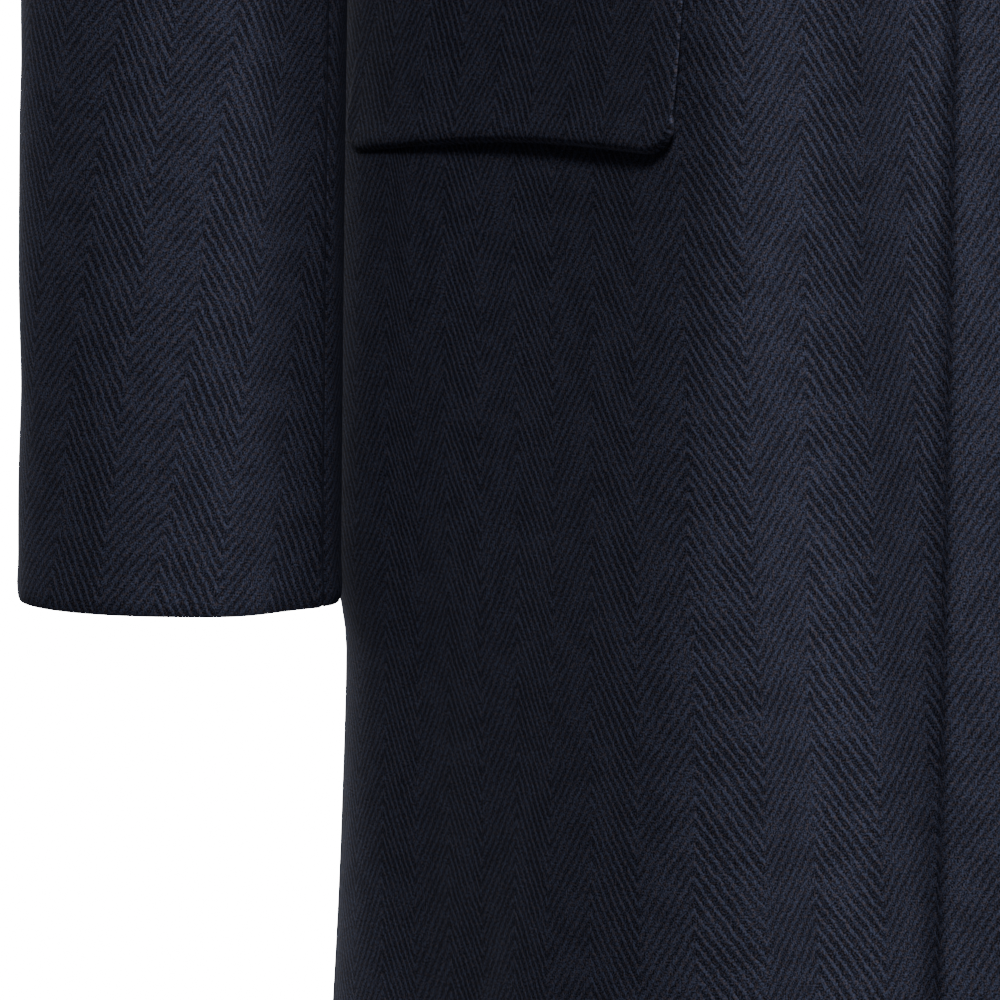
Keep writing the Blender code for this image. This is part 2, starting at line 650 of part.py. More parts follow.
def sleeve_rows(first, last):
    """Points of one sleeve piece between two places round the sleeve, armhole first."""
    armhole = np.concatenate([PANEL_RUNS * 180 - 90, 270 - PANEL_RUNS[-2::-1] * 180])
    armhole = np.concatenate([armhole, armhole[1:] + 360])
    between = armhole[(armhole > first + 4.0) & (armhole < last - 7.0)]
    angle = np.concatenate([[first, first + 2.6], between, [last - 2.6, last]])
    rows = [sleeve_cap(angle, run) for run in (0.0, 0.035, 0.12, 0.25, 0.4, 0.55, 0.7, 0.85)]
    heights = np.linspace(SLEEVE_RINGS[-1].height, SLEEVE_RINGS[0].height, 11)
    rows += [sleeve_ring(angle, np.full_like(angle, height)) for height in heights]
    rows = np.array(rows)
    turn = np.radians(angle)
    outward = np.stack([np.sin(turn), -np.cos(turn), np.zeros_like(turn)], -1)
    for crease in SLEEVE_CREASES:
        off = (angle - crease.turn)[None, :]
        line = rows[..., 2] - crease.height - crease.slope * off
        depth = crease.depth * np.exp(-0.5 * (line / crease.tall) ** 2
                                      - 0.5 * (off / crease.wide) ** 2)
        rows += outward[None] * depth[..., None]
    return rows


def build_sleeve(collection, side_name, side, material):
    trim = SLEEVE_SEAM_TRIM
    pieces = (("top_sleeve_", FRONT_SLEEVE_SEAM + trim, BACK_SLEEVE_SEAM - trim),
              ("under_sleeve_", BACK_SLEEVE_SEAM + trim, FRONT_SLEEVE_SEAM + 360 - trim))
    for start, first, last in pieces:
        rows = mirrored(sleeve_rows(first, last), side)
        ring = SLEEVE_RINGS[-1]

        def away(at, ring=ring):
            return (at[0] - side * ring.across, at[1] - ring.along, 0.0)
        cloth_piece(collection, start + side_name, rows, away, material)


# ---------------------------------------------------------------- pocket flaps
def arc_turn(distance, height, side):
    """Place on the front at a height, by the distance along the cloth from the centre."""
    turns = np.linspace(0.0, SIDE_SEAM_TURN, 260)
    places = np.stack([turns, np.full_like(turns, height - CHEST_HEIGHT)], -1)
    line = front_surface(places, side)
    run = np.concatenate([[0], np.cumsum(np.linalg.norm(np.diff(line, axis=0), axis=1))])
    return np.interp(distance, run, turns), run, line


def build_flap(collection, name, side, material):
    across, top = POCKET_FRONT
    _, run, line = arc_turn(0.0, top, side)
    start = np.interp(across, line[:, 0], run)
    corner_steps = FLAP_CORNER * np.array([0.0, 0.12, 0.45, 1.0])
    middle = np.linspace(FLAP_CORNER, FLAP_LENGTH - FLAP_CORNER, 12)[1:-1]
    along = np.concatenate([corner_steps, middle, FLAP_LENGTH - corner_steps[::-1]])
    ends = np.minimum(np.minimum(along, FLAP_LENGTH - along), FLAP_CORNER)
    depth = (FLAP_DEPTH - FLAP_ARCH * np.sin(math.pi * along / FLAP_LENGTH)
             - FLAP_CORNER + np.sqrt(FLAP_CORNER ** 2 - (FLAP_CORNER - ends) ** 2))
    rows = []
    for q in shares(5):
        row = []
        for run_along, deep in zip(along, depth):
            distance = start + run_along * math.cos(FLAP_SLANT) + q * deep * math.sin(FLAP_SLANT)
            height = top - run_along * math.sin(FLAP_SLANT) - q * deep * math.cos(FLAP_SLANT)
            turn = arc_turn(distance, height, side)[0]
            place = np.array([turn, height - CHEST_HEIGHT])
            stand = WALL + LAYER_GAP + FLAP_STAND * q ** 1.6
            row.append(front_surface(place, side, stand))
        rows.append(row)
    return cloth_piece(collection, name, mirrored(rows, side),
                       lambda at: (at[0], at[1], 0.0), material)


# ---------------------------------------------------------------- buttons
def build_button(collection, name, height, material):
    """A turned disc with a raised rim and four holes, sewn through the centre front."""
    place = np.array([0.0, height - CHEST_HEIGHT])
    face = front_surface(place, 1, 2 * LAYER_GAP)
    thick, radius = BUTTON_THICKNESS, BUTTON_RADIUS
    outline = [(0.0, thick * 0.55), (radius * 0.62, thick * 0.55), (radius * 0.78, thick * 0.95),
               (radius * 0.92, thick), (radius, thick * 0.62), (radius * 0.93, 0.0), (0.0, 0.0)]
    work = bmesh.new()
    verts = [work.verts.new((x, 0.0, z)) for x, z in outline]
    for first, second in zip(verts, verts[1:]):
        work.edges.new((first, second))
    mesh = bpy.data.meshes.new("button_outline")
    work.to_mesh(mesh)
    work.free()
    button = link(collection, name, mesh, material)
    turned = button.modifiers.new("Turned", "SCREW")
    turned.steps = 24
    turned.render_steps = 24
    turned.use_merge_vertices = True
    turned.merge_threshold = 0.00001
    button.rotation_euler = (math.pi / 2, 0.0, 0.0)
    button.location = face
    return button


def drill_button(cutters, button):
    """Four thread holes through a button."""
    bpy.ops.mesh.primitive_cylinder_add(vertices=8, radius=0.0011, depth=0.012)
    drill = bpy.context.object
    spacing = 0.0024
    joined = bmesh.new()
    for x, y in ((1, 1), (1, -1), (-1, 1), (-1, -1)):
        copy = drill.data.copy()
        for vert in copy.vertices:
            vert.co.x += x * spacing
            vert.co.y += y * spacing
        joined.from_mesh(copy)
        bpy.data.meshes.remove(copy)
    joined.to_mesh(drill.data)
    joined.free()
    drill.name = button.name + "_holes"
    drill.rotation_euler = button.rotation_euler
    drill.location = button.location
    drill.hide_render = True
    drill.display_type = "WIRE"
    for old in list(drill.users_collection):
        old.objects.unlink(drill)
    cutters.objects.link(drill)
    cut = button.modifiers.new("Holes", "BOOLEAN")
    cut.operation = "DIFFERENCE"
    cut.object = drill


# ---------------------------------------------------------------- build
def main():
    for old in list(bpy.data.objects):
        bpy.data.objects.remove(old, do_unlink=True)
    coat = bpy.data.collections.new("wool_overcoat")
    cutters = bpy.data.collections.new("cutters")
    bpy.context.scene.collection.children.link(coat)
    bpy.context.scene.collection.children.link(cutters)
    wool = wool_material("navy_herringbone_wool", NAVY_WOOL, 0.92)
    horn = wool_material("dark_horn", BUTTON_HORN, 0.35)
    for side_name, side in (("left", 1), ("right", -1)):
        build_front(coat, "front_" + side_name, side, wool)
        build_back(coat, "back_" + side_name, side, wool)
        build_lapel(coat, "lapel_" + side_name, side, wool)
        build_sleeve(coat, side_name, side, wool)
        build_flap(coat, "pocket_flap_" + side_name, side, wool)
    build_collar(coat, wool)
    for number, height in enumerate(BUTTON_HEIGHTS, 1):
        button = build_button(coat, f"button_{number}", height, horn)
        drill_button(cutters, button)


main()
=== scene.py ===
"""A man's single-breasted wool overcoat in a wide herringbone, filled out as it is worn.

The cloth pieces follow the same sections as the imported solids, with a finer mesh, pressed seams,
turned edges and soft creases. Metres, +Z up, the coat's front faces -Y, the wearer's right is -X.
"""

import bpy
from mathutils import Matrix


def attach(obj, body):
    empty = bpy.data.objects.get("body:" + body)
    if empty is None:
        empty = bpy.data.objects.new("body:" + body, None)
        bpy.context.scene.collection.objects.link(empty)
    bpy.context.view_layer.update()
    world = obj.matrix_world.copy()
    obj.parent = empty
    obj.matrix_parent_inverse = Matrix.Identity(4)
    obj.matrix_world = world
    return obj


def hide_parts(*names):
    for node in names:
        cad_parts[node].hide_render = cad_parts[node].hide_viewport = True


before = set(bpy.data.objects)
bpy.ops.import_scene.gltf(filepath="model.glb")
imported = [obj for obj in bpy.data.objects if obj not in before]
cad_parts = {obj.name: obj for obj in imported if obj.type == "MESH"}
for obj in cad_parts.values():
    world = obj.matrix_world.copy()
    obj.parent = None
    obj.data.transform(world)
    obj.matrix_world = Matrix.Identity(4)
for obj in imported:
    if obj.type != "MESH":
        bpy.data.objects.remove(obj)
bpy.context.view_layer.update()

import math
from collections import namedtuple

import bmesh
import bpy
import numpy as np
from bpy.props import FloatProperty, FloatVectorProperty, PointerProperty
from mathutils import Matrix, Vector

bl_info = {
    "name": "Wool Overcoat",
    "version": (1, 0, 0),
    "blender": (4, 5, 0),
    "location": "View3D > Sidebar > Overcoat",
    "description": "Makes the cloth, buttons and stage of a man's herringbone overcoat",
    "category": "Object",
}

# ---------------------------------------------------------------- the coat's cut, in metres
WALL = 0.0024                 # the solids' cloth
LAYER_GAP = 0.0008
CHEST_HEIGHT = -0.250         # underarm level, where the lapels break too
HEM_HEIGHT = -1.020
HEM_TO_CHEST = 0.77
HEM_STEPS = (0.0, 0.0015, 0.0035, 0.006)       # rows close together at the hem's edge
SIDE_SEAM_TURN = 5.30         # place of the side seam along the half section
BACK_TURN = 10.0
SEAM_LAP = 0.006              # sewn edges run this far under each other, in turns
SEAM_UNDERLAP = 0.0003
NECK_HALF_WIDTH = 0.083
NAPE_DEPTH = 0.074
NAPE_RAISE = 0.066
NAPE_SPREAD = 0.050
NECK_POINT_HEIGHT = -0.010
SHOULDER_HALF_WIDTH = 0.240
SHOULDER_POINT_HEIGHT = -0.056
SHOULDER_LINE_Y = 0.004
BLUNT_SHARE = 0.80
BLUNT_DEPTHS = (-0.078, 0.088)
ARMHOLE_FRONT_CUT = 0.155
ARMHOLE_BACK_CUT = 0.130
FRONT_LAP = 0.0235            # each front runs this far past the centre
FRONT_SWING = 0.013
SWING_HEIGHT = -0.670
LAPEL_TIP = (0.150, -0.094)   # across, height, as seen from the front
LAPEL_BELLY = (0.074, -0.203)
GORGE_START = (0.0556, -0.068)
LAPEL_ROLL = 0.0030
NOTCH_SHARE = 0.60
POCKET_FRONT = (0.1030, -0.500)
FLAP_LENGTH = 0.174
FLAP_DEPTH = 0.0680
FLAP_ARCH = 0.0050
FLAP_SLANT = math.radians(4.4)
FLAP_STAND = 0.0014
FLAP_CORNER = 0.012
FLAP_SINK = 0.0018            # how far its top edge sinks in, over what share of its depth
FLAP_SINK_SHARE = 0.05
FLAP_CURL = 0.0028            # how far its lower edge rolls in, and over what width
FLAP_CURL_WIDTH = 0.0014
FRONT_STAND = 0.0034          # how far the left front lies over the right one, below the break
STAND_AT_BREAK = 1.4          # share of the stand that is added near the lapels' break
BREAK_FADE = (-0.300, 0.050)  # height where that starts, and over what height
PARTING_FADE = (-0.190, 0.080)       # the same for the fronts' parting under the lapels
STAND_FADE = (0.076, 0.036)   # across from the centre, where the stand ends, over what width
EDGE_ROLL = 0.0020            # how far the left front's edge rolls down, over what width
EDGE_ROLL_WIDTH = 0.0016
EDGE_ROLL_FADE = (-0.29, 0.03)
SWELL = 0.0058                # both fronts bulge where they lap, below the buttons
SWELL_TOP = (-0.036, -0.50)   # across from the centre, height
SWELL_BOTTOM = (-0.024, -0.80)
SWELL_WIDTHS = (0.014, 0.022)        # towards the wearer's right, towards the left
SWELL_FADES = ((-0.42, 0.10), (-0.84, 0.20))   # top and bottom: height, and over what height
SIDE_FULLNESS = 0.0046        # the sides stand out behind the forearm
SIDE_FULL_PLACE = (5.25, 0.75)       # middle and spread along the half section, in turns
SIDE_FULL_FADES = ((-0.36, 0.12), (-0.742, 0.035))
CREASE_CLEARANCE = 0.02       # creases die out this far from a piece's side edges
TURNED_RIDGE = (0.0004, 0.006, 0.004)          # a turned edge: height, distance in, width
TURNED_DROP = (0.0006, 0.0011)       # and the fall at its very edge: depth, width
EDGE_BEVEL = 0.0006
FRONT_SLEEVE_SEAM = -69.0     # degrees from the sleeve's front, outwards positive
BACK_SLEEVE_SEAM = 150.0
SLEEVE_SEAM_GAP = 0.08        # degrees from each seam line to the edges that meet there
BUTTON_HEIGHTS = (-0.275, -0.380, -0.485)
COLLAR_SHOULDER = 0.68
COLLAR_ROLL = 0.0036
COLLAR_BULGE = 0.006
COLLAR_REST = 0.0020
NOTCH_SHARE_OF_FALL = 0.72

# How the cloth is laid on the pieces: where the peak lines of the herringbone run.
FRONT_PEAK_LINE = 0.1336      # from the centre, on the wearer's right front
EDGE_VALLEY = 0.0022          # valley line inside the lapping front's edge
SLEEVE_PEAK = (-0.0086, -0.6120)     # across from the sleeve's middle, height
SLEEVE_GRAIN = math.radians(7.9)     # the sleeve's grain leans forward with the arm
FLAP_PEAK_LINE = 0.0099       # from the flap's front end
FLAP_GRAIN = math.radians(6.5)
LAPEL_GRAIN = math.radians(22.0)
CENTRE_BAND = 7               # the band line of the table that lies on FRONT_PEAK_LINE
BAND_FADE = (-0.47, 0.12)     # height above which the cloth keeps its even repeat

# Distances from the centre of the right front's peak and valley lines, valley first from the
# front edge, where pressing has drawn the cloth a little out of its even repeat.
BandLines = namedtuple("BandLines", "height distances")
RIGHT_FRONT_BANDS = [
    BandLines(-0.820, (0.0063, 0.0243, 0.0403, 0.0622, 0.0771, 0.0998, 0.1178, 0.1334, 0.1475,
                       0.1583, 0.1695, 0.1805, 0.1925, 0.2041)),
    BandLines(-0.695, (0.0117, 0.0297, 0.0449, 0.0654, 0.0821, 0.1022, 0.1193, 0.1342, 0.1474,
                       0.1587, 0.1711, 0.1819, 0.1920, 0.2026)),
    BandLines(-0.600, (0.0170, 0.0350, 0.0496, 0.0682, 0.0863, 0.1050, 0.1210, 0.1340, 0.1477,
                       0.1602, 0.1726, 0.1839, 0.1963, 0.2028)),
]

Level = namedtuple("Level", "height half_width front_depth back_depth "
                            "front_corner side_depth back_corner")
BODY_LEVELS = [
    Level(-1.020, 0.2320, 0.1730, 0.172, 0.130, -0.034, 0.142),
    Level(-0.800, 0.2220, 0.1645, 0.160, 0.123, -0.026, 0.134),
    Level(-0.740, 0.2204, 0.1612, 0.156, 0.121, -0.023, 0.132),
    Level(-0.670, 0.2203, 0.1558, 0.151, 0.115, -0.019, 0.128),
    Level(-0.580, 0.2200, 0.1512, 0.145, 0.106, -0.011, 0.124),
    Level(-0.440, 0.2130, 0.1465, 0.132, 0.114, -0.006, 0.116),
    Level(-0.340, 0.2090, 0.1490, 0.136, 0.132, -0.002, 0.124),
    Level(-0.250, 0.2085, 0.1500, 0.142, 0.143, 0.000, 0.132),
]
Spread = namedtuple("Spread", "share across")
SHOULDER_SPREAD = [
    Spread(0.00, 0.000), Spread(0.40, 0.084), Spread(0.60, 0.138), Spread(0.75, 0.186),
    Spread(0.86, 0.219), Spread(0.95, 0.235), Spread(1.00, SHOULDER_HALF_WIDTH),
]
Fold = namedtuple("Fold", "top bottom across_top across_bottom inner outer depth_top depth_bottom")
RIGHT_FRONT_FOLDS = [
    Fold(-0.30, -1.02, 0.078, 0.060, 0.018, 0.030, 0.0100, 0.0040),
    Fold(-0.72, -1.02, 0.150, 0.158, 0.014, 0.016, 0.0020, 0.0050),
]
LEFT_FRONT_FOLDS = [
    Fold(-0.32, -1.02, 0.082, 0.070, 0.020, 0.030, 0.0070, 0.0055),
    Fold(-0.70, -1.02, 0.152, 0.150, 0.014, 0.016, 0.0020, 0.0060),
]
BACK_FOLDS = [
    Fold(-0.34, -1.02, 0.118, 0.128, 0.022, 0.024, 0.0060, 0.0110),
    Fold(-0.46, -1.02, 0.060, 0.066, 0.018, 0.018, -0.0040, -0.0080),
]
Ring = namedtuple("Ring", "height across along half_width half_depth")
SLEEVE_RINGS = [
    Ring(-0.720, 0.2694, -0.0510, 0.0520, 0.0450),
    Ring(-0.640, 0.2690, -0.0495, 0.0522, 0.0455),
    Ring(-0.560, 0.2684, -0.0450, 0.0524, 0.0475),
    Ring(-0.480, 0.2676, -0.0370, 0.0526, 0.0530),
    Ring(-0.400, 0.2665, -0.0220, 0.0525, 0.0620),
    Ring(-0.340, 0.2650, -0.0100, 0.0518, 0.0690),
    Ring(-0.295, 0.2640, -0.0030, 0.0512, 0.0735),
]
ArmCrease = namedtuple("ArmCrease", "height turn tall wide slope depth")
SLEEVE_CREASES = [
    ArmCrease(-0.405, -20.0, 0.014, 34.0, 0.0009, -0.0042),
    ArmCrease(-0.440, 12.0, 0.016, 36.0, -0.0008, -0.0036),
    ArmCrease(-0.372, 150.0, 0.020, 42.0, 0.0008, -0.0034),
    ArmCrease(-0.425, -34.0, 0.006, 26.0, 0.0012, -0.0016),
    ArmCrease(-0.388, 20.0, 0.007, 30.0, -0.0012, 0.0016),
    ArmCrease(-0.462, -8.0, 0.008, 30.0, 0.0006, 0.0014),
    ArmCrease(-0.395, 176.0, 0.008, 34.0, -0.0010, -0.0018),
    ArmCrease(-0.350, 200.0, 0.009, 30.0, 0.0012, -0.0018),
    ArmCrease(-0.500, 130.0, 0.010, 30.0, 0.0010, -0.0014),
    ArmCrease(-0.240, -60.0, 0.012, 22.0, 0.0016, -0.0020),
    ArmCrease(-0.215, 216.0, 0.012, 22.0, -0.0016, -0.0022),
    ArmCrease(-0.640, 96.0, 0.016, 30.0, 0.0010, -0.0010),
]
ArmLine = namedtuple("ArmLine", "top bottom turn wide depth")     # runs down a sleeve
SLEEVE_LINES = [
    ArmLine(-0.40, -0.80, -23.0, 11.0, 0.0022),
    ArmLine(-0.40, -0.80, -47.0, 11.0, -0.0022),
    ArmLine(-0.32, -0.80, -63.5, 1.7, 0.0008),
    ArmLine(-0.30, -0.66, 118.0, 14.0, -0.0014),
    ArmLine(-0.47, -0.78, 200.0, 16.0, 0.0012),
]
Crease = namedtuple("Crease", "from_centre top end_from_centre end width depth")
RIGHT_FRONT_CREASES = [
    Crease(0.066, -0.38, 0.060, -0.77, 0.012, -0.0040),
    Crease(0.054, -0.56, 0.044, -1.10, 0.015, -0.0020),
]
LEFT_FRONT_CREASES = [
    Crease(0.050, -0.55, 0.034, -1.02, 0.013, -0.0016),
]
FRONT_CREASES = [
    Crease(0.236, -0.200, 0.168, -0.262, 0.0085, -0.0020),
    Crease(0.226, -0.236, 0.160, -0.302, 0.0095, 0.0018),
    Crease(0.246, -0.275, 0.190, -0.345, 0.0100, -0.0018),
    Crease(0.286, -0.410, 0.205, -0.432, 0.0110, -0.0018),
    Crease(0.280, -0.445, 0.215, -0.450, 0.0090, 0.0012),
    Crease(0.242, -0.620, 0.236, -1.050, 0.0170, -0.0026),
    Crease(0.196, -0.780, 0.204, -1.060, 0.0110, -0.0020),
    Crease(0.108, -0.840, 0.112, -1.060, 0.0140, -0.0022),
    Crease(0.024, -0.860, 0.018, -1.060, 0.0120, 0.0010),
]
BACK_CREASES = [
    Crease(0.028, -0.330, 0.110, -0.372, 0.0110, -0.0018),
    Crease(0.050, -0.395, 0.150, -0.420, 0.0120, -0.0020),
    Crease(0.020, -0.430, 0.110, -0.446, 0.0100, 0.0014),
    Crease(0.255, -0.205, 0.180, -0.300, 0.0110, -0.0026),
    Crease(0.270, -0.250, 0.205, -0.350, 0.0120, 0.0020),
    Crease(0.160, -0.110, 0.120, -0.210, 0.0140, -0.0014),
    Crease(0.215, -0.560, 0.232, -1.060, 0.0150, -0.0034),
    Crease(0.020, -0.640, 0.024, -1.060, 0.0150, 0.0026),
    Crease(0.190, -0.760, 0.180, -1.060, 0.0110, 0.0020),
]
Station = namedtuple("Station", "turn crease_x crease_y crease_height edge_x edge_y")
COLLAR_STATIONS = [
    Station(0.00, 0.0000, 0.0640, 0.0460, 0.0000, 0.1060),
    Station(0.25, 0.0380, 0.0560, 0.0435, 0.0690, 0.0800),
    Station(0.50, 0.0690, 0.0290, 0.0330, 0.1150, 0.0500),
    Station(0.68, 0.0765, -0.0020, 0.0210, 0.1330, 0.0060),
    Station(0.84, 0.0735, -0.0420, 0.0000, 0.1400, -0.0380),
    Station(1.00, 0.0520, -0.1040, -0.0590, 0.1370, -0.0730),
]


# ---------------------------------------------------------------- settings a user may change
def linear(colour):
    """sRGB hex to linear red, green and blue."""
    parts = [int(colour[i:i + 2], 16) / 255 for i in (0, 2, 4)]
    return tuple(c / 12.92 if c <= 0.04045 else ((c + 0.055) / 1.055) ** 2.4 for c in parts)


class OvercoatCloth(bpy.types.PropertyGroup):
    wall: FloatProperty(
        name="Cloth thickness", description="Wool coating with its canvas",
        default=0.0022, min=0.001, max=0.003, unit="LENGTH", subtype="DISTANCE")
    seam_depth: FloatProperty(
        name="Seam depth", description="How far a pressed seam sinks below the cloth",
        default=0.0010, min=0.0, max=0.002, unit="LENGTH", subtype="DISTANCE")
    seam_reach: FloatProperty(
        name="Seam width", description="Half the width of the pressed hollow at a seam",
        default=0.0022, min=0.0005, max=0.006, unit="LENGTH", subtype="DISTANCE")
    repeat: FloatProperty(
        name="Herringbone repeat", description="Width of one peak and one valley of the weave",
        default=0.0382, min=0.01, max=0.08, unit="LENGTH", subtype="DISTANCE")
    rib_pitch: FloatProperty(
        name="Rib pitch", description="Height from one rib to the next, measured up the cloth",
        default=0.0050, min=0.001, max=0.01, unit="LENGTH", subtype="DISTANCE")
    rib_rise: FloatProperty(
        name="Rib rise", description="How steeply a rib climbs: height over width",
        default=1.6, min=0.5, max=3.0)
    rib_colour: FloatVectorProperty(
        name="Rib colour", description="Slate-blue yarn of the ribs",
        default=linear("585f7c"), size=3, min=0.0, max=1.0, subtype="COLOR")
    ground_colour: FloatVectorProperty(
        name="Ground colour", description="Navy-black yarn between the ribs",
        default=linear("0c0c14"), size=3, min=0.0, max=1.0, subtype="COLOR")
    underside_colour: FloatVectorProperty(
        name="Underside colour", description="Inside face of the cloth",
        default=linear("262937"), size=3, min=0.0, max=1.0, subtype="COLOR")


class OvercoatButtons(bpy.types.PropertyGroup):
    radius: FloatProperty(
        name="Radius", description="Radius of a front button",
        default=0.0138, min=0.008, max=0.02, unit="LENGTH", subtype="DISTANCE")
    thickness: FloatProperty(
        name="Thickness", description="Thickness of a front button at its rim",
        default=0.0039, min=0.002, max=0.006, unit="LENGTH", subtype="DISTANCE")
    buttonhole: FloatProperty(
        name="Buttonhole length", description="Length of the stitched buttonhole",
        default=0.030, min=0.015, max=0.04, unit="LENGTH", subtype="DISTANCE")
    purl_spacing: FloatProperty(
        name="Stitch spacing", description="Distance between two stitches of a buttonhole",
        default=0.00062, min=0.0003, max=0.002, unit="LENGTH", subtype="DISTANCE")
    horn_colour: FloatVectorProperty(
        name="Horn colour", description="Dark horn of the buttons",
        default=linear("1b1613"), size=3, min=0.0, max=1.0, subtype="COLOR")
    thread_colour: FloatVectorProperty(
        name="Thread colour", description="Silk twist of the buttonholes and buttons",
        default=linear("151823"), size=3, min=0.0, max=1.0, subtype="COLOR")


class OvercoatStage(bpy.types.PropertyGroup):
    lens: FloatProperty(
        name="Lens", description="Focal length in millimetres on a 36 mm sensor",
        default=446.7, min=20.0, max=1000.0)
    world_strength: FloatProperty(
        name="Surround light", description="Strength of the soft light from all round",
        default=0.04, min=0.0, max=20.0)
    paper_strength: FloatProperty(
        name="Backdrop", description="Brightness of the white paper behind the coat",
        default=20.0, min=0.0, max=40.0)
    key_power: FloatProperty(
        name="Key light", description="Power of the softbox at the wearer's left, in watts",
        default=94.0, min=0.0, max=5000.0, unit="POWER")
    fill_power: FloatProperty(
        name="Fill light", description="Power of the softbox in front, in watts",
        default=80.0, min=0.0, max=5000.0, unit="POWER")
    rim_power: FloatProperty(
        name="Rim light", description="Power of the softbox beside the wearer's right, in watts",
        default=36.0, min=0.0, max=5000.0, unit="POWER")
    back_power: FloatProperty(
        name="Back light", description="Power of the softbox behind the coat, in watts",
        default=150.0, min=0.0, max=5000.0, unit="POWER")
    floor_height: FloatProperty(
        name="Floor height", description="Height of the floor below the nape",
        default=-1.50, min=-3.0, max=-1.03, unit="LENGTH", subtype="DISTANCE")


# ---------------------------------------------------------------- small maths
def smooth_column(table, key, wanted, value):
    """Read one column of a table at any place, through a smooth monotone cubic."""
    xs = np.array([getattr(row, key) for row in table])
    ys = np.array([getattr(row, value) for row in table])
    steps = np.diff(ys) / np.diff(xs)
    slopes = np.zeros_like(ys)
    same_way = steps[:-1] * steps[1:] > 0
    slopes[1:-1][same_way] = (2 * steps[:-1] * steps[1:] / (steps[:-1] + steps[1:]))[same_way]
    at = np.clip(np.asarray(wanted, float), xs[0], xs[-1])
    cell = np.clip(np.searchsorted(xs, at) - 1, 0, len(xs) - 2)
    width = xs[cell + 1] - xs[cell]
    f = (at - xs[cell]) / width
    return ((1 + 2 * f) * (1 - f) ** 2 * ys[cell] + f * (1 - f) ** 2 * width * slopes[cell]
            + f * f * (3 - 2 * f) * ys[cell + 1] - f * f * (1 - f) * width * slopes[cell + 1])


def ease(value):
    """Smooth step from 0 to 1."""
    f = np.clip(value, 0.0, 1.0)
    return f * f * (3 - 2 * f)


def between(height, fades):
    """1 between two heights, falling smoothly to 0 above the first and below the second."""
    (top, top_fade), (bottom, bottom_fade) = fades
    return ease((top - height) / top_fade) * ease((height - bottom) / bottom_fade)


def off_the_edges(run):
    """1 inside a piece, falling to 0 at its first and last column."""
    return ease(run / CREASE_CLEARANCE) * ease((run[:, -1:] - run) / CREASE_CLEARANCE)


def shares(count, strips=()):
    """Even shares from 0 to 1, with narrow strips at each end for pressed edges."""
    strips = np.array(strips, float)
    inner = np.linspace(strips[-1] if len(strips) else 0.0, 1 - strips[-1] if len(strips) else 1.0,
                        count + 1)
    if not len(strips):
        return inner
    return np.concatenate([[0.0], strips[:-1], inner, 1 - strips[-2::-1], [1.0]])


def refined(values, count):
    """A smooth curve through evenly spaced rows of points, read at count even places."""
    values = np.asarray(values, float)
    slopes = np.gradient(values, axis=0)
    slopes[0] = 2 * (values[1] - values[0]) - slopes[1]
    slopes[-1] = 2 * (values[-1] - values[-2]) - slopes[-2]
    at = np.linspace(0, len(values) - 1, count)
    cell = np.minimum(at.astype(int), len(values) - 2)
    f = (at - cell).reshape((-1,) + (1,) * (values.ndim - 1))
    return ((1 + 2 * f) * (1 - f) ** 2 * values[cell] + f * (1 - f) ** 2 * slopes[cell]
            + f * f * (3 - 2 * f) * values[cell + 1] - f * f * (1 - f) * slopes[cell + 1])


def unit(vectors):
    return vectors / np.maximum(np.linalg.norm(vectors, axis=-1, keepdims=True), 1e-12)


# ---------------------------------------------------------------- the coat's sections
def section_corners(height):
    """Control corners of the half section at each height, from centre front to centre back."""
    wide, front, back, corner, side, blade = (
        smooth_column(BODY_LEVELS, "height", height, name)
        for name in ("half_width", "front_depth", "back_depth", "front_corner",
                     "side_depth", "back_corner"))
    zero = np.zeros_like(wide)
    across = [zero, 0.34 * corner, 0.70 * corner, corner, corner + 0.42 * (wide - corner),
              wide + 0.004, 0.985 * wide, blade + 0.30 * (wide - blade), 0.72 * blade,
              0.34 * blade, zero]
    along = [-front, -front, -front, -front, -front + 0.42 * (front + side), side - 0.004,
             side + 0.060, 0.80 * back, back, back, back]
    return np.stack(across, -1), np.stack(along, -1)


def section_point(turn, height):
    """Plan position on the section: 0 is centre front, about 5 the side, 10 centre back."""
    turn, height = np.broadcast_arrays(np.asarray(turn, float), np.asarray(height, float))
    across, along = section_corners(height)
    place = np.clip(np.abs(turn), 0.0, BACK_TURN)
    cell = np.minimum(place.astype(int), int(BACK_TURN) - 1)
    f = place - cell
    weights = ((1 - f) ** 3 / 6, (3 * f ** 3 - 6 * f ** 2 + 4) / 6,
               (-3 * f ** 3 + 3 * f ** 2 + 3 * f + 1) / 6, f ** 3 / 6)
    x = np.zeros_like(place)
    y = np.zeros_like(place)
    for step, weight in enumerate(weights):
        index = cell + step - 1
        beyond = (index < 0) | (index > int(BACK_TURN))
        real = np.where(index < 0, -index, np.where(index > BACK_TURN, 20 - index, index))
        column = np.take_along_axis(across, real[..., None], -1)[..., 0]
        x += weight * np.where(beyond, -column, column)
        y += weight * np.take_along_axis(along, real[..., None], -1)[..., 0]
    return np.where(turn < 0, -x, x), y


def shoulder_line(across):
    """Height of the shoulder seam line at a distance from the centre."""
    slope = (SHOULDER_POINT_HEIGHT - NECK_POINT_HEIGHT) / (SHOULDER_HALF_WIDTH - NECK_HALF_WIDTH)
    from_neck = np.abs(across) - NECK_HALF_WIDTH
    inside = slope * (np.square(across) - NECK_HALF_WIDTH ** 2) / (2 * NECK_HALF_WIDTH)
    return NECK_POINT_HEIGHT + np.where(from_neck > 0, slope * from_neck, inside)


